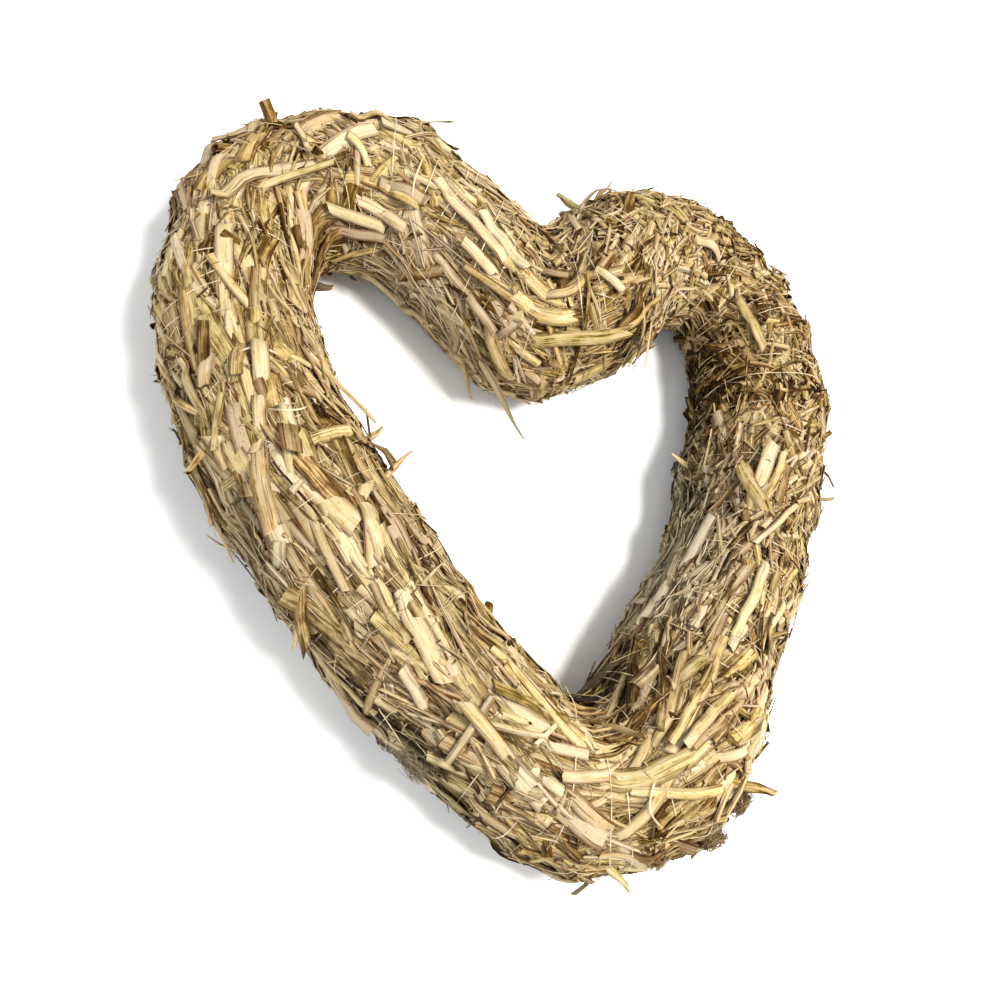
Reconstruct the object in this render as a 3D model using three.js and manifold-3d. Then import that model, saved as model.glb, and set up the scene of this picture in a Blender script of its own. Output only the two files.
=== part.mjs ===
// Straw heart ornament: a ring of tightly packed straw bent into a heart, bound all the way round with one
// clear thread, with the loose straw ends that stand out of it.
// Millimetres, +Z up. The heart lies on its back: its lobes point to +Y, its tip to -Y, its underside is at z = 0.

import * as THREE from 'three';
import Module from 'manifold-3d';
import { mergeVertices } from 'three/addons/utils/BufferGeometryUtils.js';

const wasm = await Module();
wasm.setup();

// The bundle's centreline seen from above, clockwise from the notch, with the bundle's radius at each place.
const HEART = [
  { place: 'notch', x: -2, y: 58, radius: 26 },
  { place: 'right lobe, slope', x: 22, y: 73, radius: 28 },
  { place: 'right lobe, top', x: 44, y: 97, radius: 27 },
  { place: 'right shoulder', x: 91, y: 97, radius: 23 },
  { place: 'right side', x: 96, y: 38, radius: 25 },
  { place: 'right arm', x: 68, y: -32, radius: 24 },
  { place: 'tip, right', x: 26, y: -91, radius: 25 },
  { place: 'tip', x: 6, y: -102, radius: 22 },
  { place: 'tip, left', x: -21, y: -85, radius: 22 },
  { place: 'left arm', x: -84, y: -6, radius: 24 },
  { place: 'left side', x: -101, y: 43, radius: 23 },
  { place: 'left shoulder', x: -89, y: 93, radius: 24 },
  { place: 'left lobe, top', x: -52, y: 99, radius: 26 },
  { place: 'left lobe, slope', x: -18, y: 77, radius: 26 },
];

const SIDES = 14;             // facets round the bundle, one of them flat on the underside
const TURNS = 44;             // turns of the thread round the bundle
const ROWS_PER_TURN = 3;      // a pinched row under the thread, then two full rows
const FIRST_TURN = 0.5;       // where the winding starts, in turns past the notch, so that no turn falls in its crease
const PINCH = 1.4;            // how deep the thread bites into the straw
const BRIDGE = 0.7;           // how far the thread lifts off the straw where it crosses a crease
const CREASED = 0.35;         // row spacing, as a part of the open one, at which a crease is fully closed
const OPEN = 0.8;             // and at which the skin counts as open
const SETTLE = 1;             // how far the round underside is pressed flat where the heart lies
const FAN = 90;               // run of centreline that one section's direction is averaged over
const THREAD_WIDTH = 0.5;     // twice the real thread's width, so that it holds as a solid
const THREAD_HEIGHT = 0.5;
const THREAD_LIFT = 1.1;      // how high the pinched rows stay above the underside, to leave room for the thread
const GAP = 0.3;              // clearance between pieces that touch
const STRAW_THICKNESS = 0.9;  // a pressed straw, two walls thick
const CAMBER = 0.3;           // how far a pressed straw is arched, as a part of its half width
const ROOT = 9;               // how deep a loose straw is stuck into the bundle
const STUB_SIDES = 10;
const COAT_MARGIN = 0.1;      // added to the gap round the bundle, because its facets are flat between rows
const TURN = 2 * Math.PI;

// The bundle isn't even: slow swells run along it and wind round it.
const SWELLS = [
  { height: 0.7, waves: 9, twist: 1, phase: 0.4 },
  { height: 0.5, waves: 17, twist: -2, phase: 2.1 },
  { height: 0.4, waves: 29, twist: 3, phase: 4.0 },
];

// Single hollows and tufts. along is the run from the notch, around is degrees up from the heart's outer side.
const TUFTS = [
  { place: 'nest in the left lobe', along: 576, around: 120, height: -4, spread: 9 },
  { place: 'lump inside the right arm', along: 208, around: 185, height: 3, spread: 8 },
  { place: 'fuzz outside the left arm', along: 430, around: 15, height: 2, spread: 12 },
  { place: 'corner of the tip', along: 314, around: 40, height: 3.5, spread: 13 },
  { place: 'crease inside the tip', along: 344, around: 160, height: -2, spread: 10 },
  { place: 'tuft on the left lobe', along: 622, around: 40, height: 2, spread: 10 },
];

// Loose straws that show from a step away. heading is degrees across the surface from the run's own direction,
// rise is degrees off the surface, bow is how far the tip bends away from straight, point narrows the tip.
const LOOSE_STRAWS = [
  { name: 'notch_pointed_straw', along: 674, around: 175, heading: 0, rise: 10, length: 28, width: 4.5, bow: 1, point: 0.8 },
  { name: 'notch_dangling_straw', along: 668, around: 190, heading: -40, rise: 20, length: 16, width: 3, bow: -1, point: 0.5 },
  { name: 'notch_broad_straw', along: 686, around: 135, heading: 30, rise: 5, length: 27, width: 6, bow: -2, point: 0.1 },
  { name: 'lobe_slope_straw', along: 38, around: 150, heading: 180, rise: 15, length: 24, width: 4, bow: 0, point: 0.3 },
  { name: 'right_lobe_outer_straw', along: 46, around: 20, heading: 50, rise: 20, length: 16, width: 3.5, bow: 1, point: 0.4 },
  { name: 'right_lobe_top_straw', along: 54, around: 50, heading: -85, rise: 8, length: 15, width: 3.5, bow: -3, point: 0.2 },
  { name: 'right_arm_broad_straw', along: 214, around: 130, heading: 25, rise: 5, length: 28, width: 6, bow: -1, point: 0.1 },
  { name: 'right_arm_curl', along: 212, around: 175, heading: -115, rise: 30, length: 7, width: 2.5, bow: 2, point: 0.5 },
  { name: 'right_arm_long_straw', along: 288, around: 85, heading: -20, rise: 3, length: 42, width: 5, bow: -4, point: 0.1 },
  { name: 'tip_corner_straw', along: 314, around: 50, heading: 145, rise: 20, length: 12, width: 4, bow: 0, point: 0.4 },
  { name: 'tip_crossing_straw', along: 344, around: 140, heading: 120, rise: 20, length: 18, width: 3, bow: 0, point: 0.3 },
  { name: 'tip_outer_straw', along: 344, around: 25, heading: 145, rise: 25, length: 10, width: 3, bow: 0, point: 0.5 },
  { name: 'tip_lower_straw', along: 354, around: 20, heading: 65, rise: 25, length: 8, width: 3, bow: 0, point: 0.5 },
  { name: 'left_arm_crossing_straw', along: 388, around: 65, heading: -145, rise: 10, length: 19, width: 2.5, bow: -1, point: 0.3 },
  { name: 'left_arm_low_straw', along: 436, around: 14, heading: 130, rise: 25, length: 8, width: 3, bow: 0, point: 0.4 },
  { name: 'left_arm_broad_straw', along: 448, around: 45, heading: 145, rise: 5, length: 24, width: 6, bow: -1, point: 0.1 },
  { name: 'left_arm_curl', along: 456, around: 135, heading: -50, rise: 45, length: 10, width: 2.5, bow: 3, point: 0.6 },
  { name: 'left_arm_side_straw', along: 472, around: 355, heading: -155, rise: 15, length: 19, width: 3, bow: 0, point: 0.6 },
  { name: 'left_arm_upper_straw', along: 478, around: 60, heading: 170, rise: 5, length: 28, width: 6, bow: -1, point: 0.1 },
  { name: 'left_side_stub', along: 484, around: 25, heading: 120, rise: 30, length: 6, width: 3, bow: 0, point: 0.2 },
  { name: 'left_side_broad_straw', along: 538, around: 55, heading: -160, rise: 5, length: 34, width: 6, bow: -1, point: 0.1 },
  { name: 'left_lobe_band', along: 556, around: 72, heading: -45, rise: 7, length: 34, width: 5, bow: -5, point: 0.1 },
  { name: 'left_lobe_blade', along: 578, around: 40, heading: 80, rise: 30, length: 7, width: 2.5, bow: 0, point: 0.7 },
  { name: 'left_lobe_top_straw', along: 622, around: 50, heading: -5, rise: 15, length: 11, width: 4, bow: 0, point: 0.2 },
];
const HOLLOW_STUB = { name: 'hollow_straw_stub', along: 586, around: 45, heading: -85, rise: 60, length: 8, outer: 2.4, bore: 1.7 };

// The sides that face away from the tip and the left carry loose straws at even steps, each turned from the last.
const FAR_STRAWS = { count: 10, outerFrom: 54, innerFrom: 400, step: 24, sway: 25, rise: 12, length: 8, width: 3.5 };
const GOLDEN_PART = 0.618;

const STRAW_COLOURS = ['#cdb078', '#b8965a', '#dcc594', '#a2834e'];
const straw = new THREE.MeshStandardMaterial({ color: '#b39a6b', roughness: 0.75, metalness: 0 });
const thread = new THREE.MeshStandardMaterial({ color: '#e8e4d8', roughness: 0.25, metalness: 0 });

const radians = degrees => degrees * Math.PI / 180;
const wrap = (value, length) => ((value % length) + length) % length;

// Stations stand one millimetre apart along the run. Each is a ball that the bundle fills, and has an outward
// direction, the centreline's own normal averaged over FAN so that sections don't cross inside the tight bends.
const centreline = new THREE.CatmullRomCurve3(
  HEART.map(({ x, y, radius }) => new THREE.Vector3(x, y, radius)), true, 'centripetal');
centreline.arcLengthDivisions = 3000;
const RUN = centreline.getLength();
const STATIONS = Math.round(RUN);
const PITCH = RUN / TURNS;
const FLAT_FACET = Math.cos(Math.PI / SIDES);

const normals = Array.from({ length: STATIONS }, (_, i) => {
  const tangent = centreline.getTangentAt(i / STATIONS);
  return new THREE.Vector2(-tangent.y, tangent.x).normalize();
});
const stations = normals.map((_, i) => {
  const point = centreline.getPointAt(i / STATIONS);
  const outward = new THREE.Vector2();
  for (let k = -FAN / 2; k <= FAN / 2; k++) outward.add(normals[wrap(i + k, STATIONS)]);
  const height = point.z * FLAT_FACET - SETTLE;
  return { centre: new THREE.Vector3(point.x, point.y, height), radius: point.z, outward: outward.normalize() };
});

// A section's centre and the direction that leaves it at an angle up from the heart's outer side.
function ray(along, angle) {
  const place = wrap(along / RUN, 1) * STATIONS;
  const low = stations[Math.floor(place) % STATIONS];
  const high = stations[(Math.floor(place) + 1) % STATIONS];
  const part = place - Math.floor(place);
  const { x, y } = low.outward.clone().lerp(high.outward, part).normalize();
  return {
    centre: low.centre.clone().lerp(high.centre, part),
    direction: new THREE.Vector3(Math.cos(angle) * x, Math.cos(angle) * y, Math.sin(angle)),
  };
}

// How far the balls reach from a section's centre in one direction: steps outwards by the depth below the
// nearest ball's skin until that depth is nothing.
function reach({ centre, direction }) {
  const point = centre.clone();
  let depth = 1;
  while (depth > 0.01) {
    depth = Math.max(...stations.map(ball => ball.radius - ball.centre.distanceTo(point)));
    point.addScaledVector(direction, Math.max(depth, 0));
  }
  return point.distanceTo(centre);
}

// Swells are sine waves along and round the bundle, and each tuft is a round bell over its place.
function unevenness(along, angle) {
  const waves = SWELLS.reduce((sum, { height, waves: count, twist, phase }) =>
    sum + height * Math.sin(TURN * count * along / RUN + twist * angle + phase), 0);
  const bells = TUFTS.reduce((sum, tuft) => {
    const run = wrap(along - tuft.along + RUN / 2, RUN) - RUN / 2;
    const round = (wrap(angle - radians(tuft.around) + Math.PI, TURN) - Math.PI) * HEART[0].radius;
    return sum + tuft.height * Math.exp(-(run * run + round * round) / (2 * tuft.spread ** 2));
  }, 0);
  return waves + bells;
}

// The skin is a net whose rows wind round the bundle as the thread does. Row 0 of each turn lies under the
// thread. After SIDES steps a row meets the row that starts one turn further on.
const ROWS = TURNS * ROWS_PER_TURN;
const ROW_STEP = PITCH / ROWS_PER_TURN;
const net = Array.from({ length: ROWS }, (_, row) => Array.from({ length: SIDES }, (_, side) => {
  const along = (FIRST_TURN + row / ROWS_PER_TURN + side / SIDES) * PITCH;
  const angle = (side + 0.5) * TURN / SIDES - Math.PI / 2;
  const line = ray(along, angle);
  return { ...line, reach: reach(line) + unevenness(along, angle), pinched: row % ROWS_PER_TURN === 0 };
}));

// A point of the skin, moved out by grow. The underside is pressed flat, higher where the thread runs.
function skinPoint({ centre, direction, reach: distance, pinched, room }, grow, pinch) {
  const bitten = pinched && pinch > 0;
  const drop = bitten ? pinch * room : 0;
  const point = centre.clone().addScaledVector(direction, distance + grow - drop);
  point.z = Math.max(point.z, (bitten ? THREAD_LIFT : 0) - grow);
  return point;
}

// How far the rows stand apart at each node: 1 in the open, down to 0 in a crease, where they crowd together
// and the thread bridges the straw without biting into it.
net.forEach((nodes, row) => nodes.forEach((node, side) => {
  const [before, after] = [net[wrap(row - 1, ROWS)][side], net[wrap(row + 1, ROWS)][side]];
  const apart = skinPoint(before, 0, 0).distanceTo(skinPoint(after, 0, 0)) / (2 * ROW_STEP);
  node.room = THREE.MathUtils.smoothstep(apart, CREASED, OPEN);
}));

function meshFrom(points, triangles) {
  const geometry = new THREE.BufferGeometry();
  geometry.setAttribute('position', new THREE.Float32BufferAttribute(points.flatMap(p => p.toArray()), 3));
  geometry.setIndex(triangles.flat());
  return geometry;
}

// The whole skin as one closed mesh: two triangles between each pair of neighbouring rows and sides.
function skin(grow, pinch) {
  const points = net.flat().map(node => skinPoint(node, grow, pinch));
  const index = (row, side) => side < SIDES
    ? wrap(row, ROWS) * SIDES + side
    : wrap(row + ROWS_PER_TURN, ROWS) * SIDES + side - SIDES;
  const triangles = [];
  for (let row = 0; row < ROWS; row++) {
    for (let side = 0; side < SIDES; side++) {
      const corners = [index(row, side), index(row + 1, side), index(row + 1, side + 1), index(row, side + 1)];
      triangles.push([corners[0], corners[2], corners[1]], [corners[0], corners[3], corners[2]]);
    }
  }
  return meshFrom(points, triangles);
}

// A loft through rings of points that all have the same count, with the given triangles across its two ends.
function loft(rings, endTriangles) {
  const count = rings[0].length;
  const triangles = [];
  for (let ring = 0; ring + 1 < rings.length; ring++) {
    for (let corner = 0; corner < count; corner++) {
      const a = ring * count + corner;
      const b = ring * count + (corner + 1) % count;
      triangles.push([a, b, b + count], [a, b + count, a + count]);
    }
  }
  const last = (rings.length - 1) * count;
  for (const [a, b, c] of endTriangles) triangles.push([a, c, b], [last + a, last + b, last + c]);
  return meshFrom(rings.flat(), triangles);
}

// The thread is a three-sided cord that follows the pinched rows from end to end, a gap above the straw. Its
// two ends stop one step apart, where the real one is tied. grow thickens it all round.
function bindingThread(grow) {
  const rowAt = step => Math.floor(step / SIDES) * ROWS_PER_TURN;
  const netAt = (step, rows = 0) => net[wrap(rowAt(step) + rows, ROWS)][wrap(step, SIDES)];
  const skinAt = (step, rows) => skinPoint(netAt(step, rows), 0, PINCH);
  const rings = Array.from({ length: TURNS * SIDES - 1 }, (_, step) => {
    const point = skinAt(step);
    const forward = skinAt(step + 1).sub(skinAt(step - 1)).normalize();
    const run = skinAt(step, 1).sub(skinAt(step, -1)).normalize();
    const normal = forward.clone().cross(run).normalize();
    const side = normal.clone().cross(forward);
    const base = point.addScaledVector(normal, GAP - grow + BRIDGE * (1 - netAt(step).room));
    return [
      base.clone().addScaledVector(side, -THREAD_WIDTH / 2 - grow),
      base.clone().addScaledVector(side, THREAD_WIDTH / 2 + grow),
      base.clone().addScaledVector(normal, THREAD_HEIGHT + 2 * grow),
    ];
  });
  return loft(rings, [[0, 1, 2]]);
}

// A place on the skin with its own axes: along the run, out of the skin, and across between them.
function placeOnSkin(along, around) {
  const skinAt = (run, angle) => {
    const line = ray(run, angle);
    return line.centre.addScaledVector(line.direction, reach(line) + unevenness(run, angle));
  };
  const angle = radians(around);
  const run = skinAt(along + 1, angle).sub(skinAt(along - 1, angle)).normalize();
  const round = skinAt(along, angle + 0.04).sub(skinAt(along, angle - 0.04)).normalize();
  const normal = round.cross(run).normalize();
  return { point: skinAt(along, angle), run, normal, across: normal.clone().cross(run) };
}

// The direction in which a straw leaves the skin, with the straw's own side and face directions.
function strawAxes({ along, around, heading, rise }) {
  const { point, run, normal, across } = placeOnSkin(along, around);
  const [turn, lift] = [radians(heading), radians(rise)];
  const forward = run.multiplyScalar(Math.cos(turn) * Math.cos(lift))
    .addScaledVector(across, Math.sin(turn) * Math.cos(lift))
    .addScaledVector(normal, Math.sin(lift));
  const side = forward.clone().cross(normal).normalize();
  return { point, forward, side, face: side.clone().cross(forward) };
}

// A pressed straw is a crescent carried along a line that bows as the square of the distance.
function pressedStraw(shape) {
  const { point, forward, side, face } = strawAxes(shape);
  const rings = [-ROOT / shape.length, 0, 0.5, 1].map(part => {
    const free = Math.max(part, 0);
    const half = shape.width / 2 * (1 - shape.point * Math.max(2 * free - 1, 0));
    const camber = CAMBER * half;
    const place = point.clone().addScaledVector(forward, part * shape.length)
      .addScaledVector(face, shape.bow * free * free);
    return [
      [-half, 0], [-half / 2, camber + STRAW_THICKNESS / 2], [half / 2, camber + STRAW_THICKNESS / 2],
      [half, 0], [half / 2, camber - STRAW_THICKNESS / 2], [-half / 2, camber - STRAW_THICKNESS / 2],
    ].map(([across, up]) => place.clone().addScaledVector(side, across).addScaledVector(face, up));
  });
  return loft(rings, [[0, 1, 5], [1, 2, 4], [1, 4, 5], [2, 3, 4]]);
}

// A round straw that kept its bore is a ring's profile turned about the straw's own line.
function hollowStraw(shape) {
  const { point, forward } = strawAxes(shape);
  const profile = [
    [shape.bore, -ROOT], [shape.outer, -ROOT], [shape.outer, shape.length], [shape.bore, shape.length],
    [shape.bore, -ROOT],
  ].map(([radius, height]) => new THREE.Vector2(radius, height));
  const geometry = new THREE.LatheGeometry(profile, STUB_SIDES);
  const upright = new THREE.Vector3(0, 1, 0);
  return geometry.applyQuaternion(new THREE.Quaternion().setFromUnitVectors(upright, forward))
    .translate(point.x, point.y, point.z);
}

// Solids for cutting need shared vertices and no other attribute.
function solidFrom(geometry) {
  const bare = geometry.clone();
  bare.deleteAttribute('normal');
  bare.deleteAttribute('uv');
  const merged = mergeVertices(bare, 1e-4);
  return new wasm.Manifold(new wasm.Mesh({
    numProp: 3,
    vertProperties: new Float32Array(merged.attributes.position.array),
    triVerts: new Uint32Array(merged.index.array),
  }));
}

// A straw's free part: what is left of it outside the bundle and a gap, less any crumb that is cut loose.
function freePart(geometry, coat) {
  const pieces = solidFrom(geometry).subtract(coat).decompose();
  const mesh = pieces.sort((a, b) => b.volume() - a.volume())[0].getMesh();
  const free = new THREE.BufferGeometry();
  free.setAttribute('position', new THREE.BufferAttribute(mesh.vertProperties, 3));
  free.setIndex(new THREE.BufferAttribute(mesh.triVerts, 1));
  return free;
}

// The far straws stand by turns on the right half's outer side and the left half's inner side.
const farStraws = Array.from({ length: FAR_STRAWS.count }, (_, i) => {
  const outer = i % 2 === 0;
  const spin = wrap(i * GOLDEN_PART, 1);
  return {
    name: `${outer ? 'outer' : 'inner'}_straw_${i + 1}`,
    along: (outer ? FAR_STRAWS.outerFrom : FAR_STRAWS.innerFrom) + i * FAR_STRAWS.step,
    around: (outer ? 10 : 180) + FAR_STRAWS.sway * Math.sin(TURN * spin),
    heading: 360 * spin,
    rise: FAR_STRAWS.rise * (1 + spin),
    length: FAR_STRAWS.length * (1 + spin),
    width: FAR_STRAWS.width,
    bow: 0,
    point: 0.4,
  };
});

function named(name, geometry, material) {
  const mesh = new THREE.Mesh(geometry, material);
  mesh.name = name;
  return mesh;
}

const ornament = new THREE.Group();
ornament.add(named('straw_bundle', skin(0, PINCH), straw));
ornament.add(named('binding_thread', bindingThread(0), thread));

const coat = solidFrom(skin(GAP + COAT_MARGIN, 0)).add(solidFrom(bindingThread(GAP)));
[...LOOSE_STRAWS, ...farStraws].forEach((shape, i) => {
  const material = straw.clone();
  material.color.set(STRAW_COLOURS[i % STRAW_COLOURS.length]);
  ornament.add(named(shape.name, freePart(pressedStraw(shape), coat), material));
});
ornament.add(named(HOLLOW_STUB.name, freePart(hollowStraw(HOLLOW_STUB), coat), straw.clone()));

export default ornament;
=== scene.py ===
"""Straw heart ornament: pressed, split and chopped straw bound round a heart-shaped bundle with clear thread.

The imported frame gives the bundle, the thread and the loose straws as plain solids. This script lays straws
over them. Every straw is placed on the bundle's skin by two numbers: along is the run in millimetres from the
notch, clockwise seen from above, and around is degrees up from the heart's outer side. A heading is degrees
across the skin from the run's direction. All tables are in millimetres and degrees.
"""
import math

import bpy
import numpy as np
from mathutils import Matrix, Vector


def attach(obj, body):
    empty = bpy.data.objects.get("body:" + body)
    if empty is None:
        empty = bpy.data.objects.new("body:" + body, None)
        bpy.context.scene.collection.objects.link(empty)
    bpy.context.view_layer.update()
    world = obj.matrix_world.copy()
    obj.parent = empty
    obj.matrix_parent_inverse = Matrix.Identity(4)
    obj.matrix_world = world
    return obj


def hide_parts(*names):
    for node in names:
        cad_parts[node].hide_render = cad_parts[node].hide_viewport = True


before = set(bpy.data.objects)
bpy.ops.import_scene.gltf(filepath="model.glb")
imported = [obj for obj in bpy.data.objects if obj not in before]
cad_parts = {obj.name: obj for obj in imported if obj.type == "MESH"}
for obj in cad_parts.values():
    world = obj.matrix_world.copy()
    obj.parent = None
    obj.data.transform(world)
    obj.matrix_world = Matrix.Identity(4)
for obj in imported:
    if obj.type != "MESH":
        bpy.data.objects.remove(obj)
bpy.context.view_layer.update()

bl_info = {
    "name": "Straw heart ornament",
    "version": (1, 0, 0),
    "blender": (4, 5, 0),
    "location": "3D View > Sidebar > Straw heart",
    "description": "Lays straws, fibres and thread over a heart-shaped bundle",
    "category": "Add Mesh",
}

MM = 0.001
TURN = 2 * math.pi

# The bundle's centreline from the notch, clockwise from above: x, y and the bundle's radius.
HEART = np.array([
    (-2, 58, 26), (22, 73, 28), (44, 97, 27), (91, 97, 23), (96, 38, 25), (68, -32, 24), (26, -91, 25),
    (6, -102, 22), (-21, -85, 22), (-84, -6, 24), (-101, 43, 23), (-89, 93, 24), (-52, 99, 26), (-18, 77, 26),
], float)
FAN = 90                      # run of centreline that one section's direction is averaged over
FLAT_SIDE = math.cos(math.pi / 14)      # the solids' sections have 14 sides and lie on one of them
SETTLE = 1                    # how far the underside is pressed flat
LOWEST = 0.6                  # the skin's height over the table along the underside
CRUSHED = 1.2                 # straw that would lie lower than this is squeezed between it and the table
COLUMNS = 72                  # skin samples round the bundle

# Slow swells along and round the bundle: height, waves along, twist, phase.
SWELLS = [(0.7, 9, 1, 0.4), (0.5, 17, -2, 2.1), (0.4, 29, 3, 4.0)]

# Single hollows and tufts: along, around, height, spread.
TUFTS = [
    (576, 120, -4, 9), (208, 185, 3, 8), (430, 15, 2, 12), (314, 40, 3.5, 13), (344, 160, -2, 10),
    (622, 40, 2, 10),
]

# How the straw lies at each place along: spread of the headings in degrees, share of long straws, share of
# chopped straw, tone and greyness, which are added to a straw's own.
LAY = np.array([
    (0, 24, 0.9, 0.6, 0.02, 0.00),      # notch
    (55, 38, 0.4, 1.0, 0.13, 0.02),     # right lobe, top
    (105, 48, 0.3, 1.2, 0.00, 0.03),    # right shoulder
    (160, 48, 0.3, 1.3, 0.00, 0.05),    # right side
    (210, 38, 0.6, 1.1, 0.00, 0.06),    # right arm
    (260, 25, 1.0, 0.8, 0.02, 0.05),
    (300, 15, 1.3, 0.5, 0.00, 0.02),
    (344, 13, 1.3, 0.3, 0.06, 0.00),    # tip
    (385, 13, 1.4, 0.3, 0.03, 0.03),
    (430, 11, 1.5, 0.3, 0.02, 0.04),    # left arm
    (500, 11, 1.6, 0.3, 0.01, 0.02),
    (560, 26, 1.3, 0.5, 0.02, 0.00),    # left side and shoulder
    (595, 42, 0.9, 0.8, 0.03, 0.00),    # left lobe
    (645, 20, 1.2, 0.5, 0.20, 0.00),
], float)

# Patches of darker, greyer or brighter straw: along, around, spread, tone and greyness added. The dark and
# grey ones inside the right lobe, the right arm and the tip, behind the notch, under the left lobe's top, in
# the nest and behind the blades are painted shade.
PATCHES = [
    (148, 180, 14, -0.40, 0.00),        # inside the right lobe
    (174, 184, 14, -0.42, 0.05),
    (202, 190, 14, -0.26, 0.20),
    (236, 168, 20, 0.02, 0.55),         # inside the right arm
    (278, 165, 20, -0.03, 0.55),
    (318, 165, 14, -0.48, 0.25),        # the crease inside the tip
    (12, 55, 15, -0.24, 0.35),          # behind the notch
    (568, 175, 13, -0.40, 0.00),        # under the left lobe's top
    (576, 118, 5, -0.30, 0.00),         # the nest on the left lobe
    (430, 350, 50, -0.06, 0.30),        # outside the left arm
    (390, 8, 13, -0.28, 0.45),
    (28, 150, 6, -0.32, 0.00),          # behind the blades beside the notch
    (634, 118, 22, 0.12, 0.00),         # brighter straw on the lobes
    (668, 145, 16, 0.08, 0.00),
    (72, 95, 20, 0.10, 0.00),
]

# Loose straws that stand out of the bundle, each in place of the frame's node of that name:
# along, around, heading, rise, length, width, bow and how far the tip narrows.
LOOSE_STRAWS = {
    "notch_pointed_straw": (674, 175, 0, 10, 28, 4.5, 1, 0.8),
    "notch_dangling_straw": (668, 190, -40, 20, 16, 3, -1, 0.5),
    "notch_broad_straw": (686, 135, 30, 5, 27, 6, -2, 0.1),
    "lobe_slope_straw": (38, 150, 180, 15, 24, 4, 0, 0.3),
    "right_lobe_outer_straw": (46, 20, 50, 20, 16, 3.5, 1, 0.4),
    "right_lobe_top_straw": (54, 50, -85, 8, 15, 3.5, -3, 0.2),
    "right_arm_broad_straw": (214, 130, 25, 5, 28, 6, -1, 0.1),
    "right_arm_curl": (212, 175, -115, 30, 7, 2.5, 2, 0.5),
    "right_arm_long_straw": (288, 85, -20, 3, 42, 5, -4, 0.1),
    "tip_corner_straw": (314, 50, 145, 20, 12, 4, 0, 0.4),
    "tip_crossing_straw": (344, 140, 120, 20, 18, 3, 0, 0.3),
    "tip_outer_straw": (344, 25, 145, 25, 10, 3, 0, 0.5),
    "tip_lower_straw": (354, 20, 65, 25, 8, 3, 0, 0.5),
    "left_arm_crossing_straw": (388, 65, -145, 10, 19, 2.5, -1, 0.3),
    "left_arm_low_straw": (436, 14, 130, 25, 8, 3, 0, 0.4),
    "left_arm_broad_straw": (448, 45, 145, 5, 24, 6, -4, 0.2),
    "left_arm_curl": (456, 135, -50, 45, 10, 2.5, 3, 0.6),
    "left_arm_side_straw": (472, 355, -155, 15, 19, 3, 0, 0.6),
    "left_arm_upper_straw": (478, 60, 170, 5, 28, 6, -2, 0.1),
    "left_side_stub": (484, 25, 120, 30, 6, 3, 0, 0.2),
    "left_side_broad_straw": (538, 55, -160, 5, 34, 6, -1, 0.1),
    "left_lobe_band": (556, 72, -45, 7, 34, 4, -5, 0.1),
    "left_lobe_blade": (578, 40, 80, 30, 7, 2.5, 0, 0.7),
    "left_lobe_top_straw": (622, 50, -5, 15, 11, 4, 0, 0.2),
}

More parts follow.
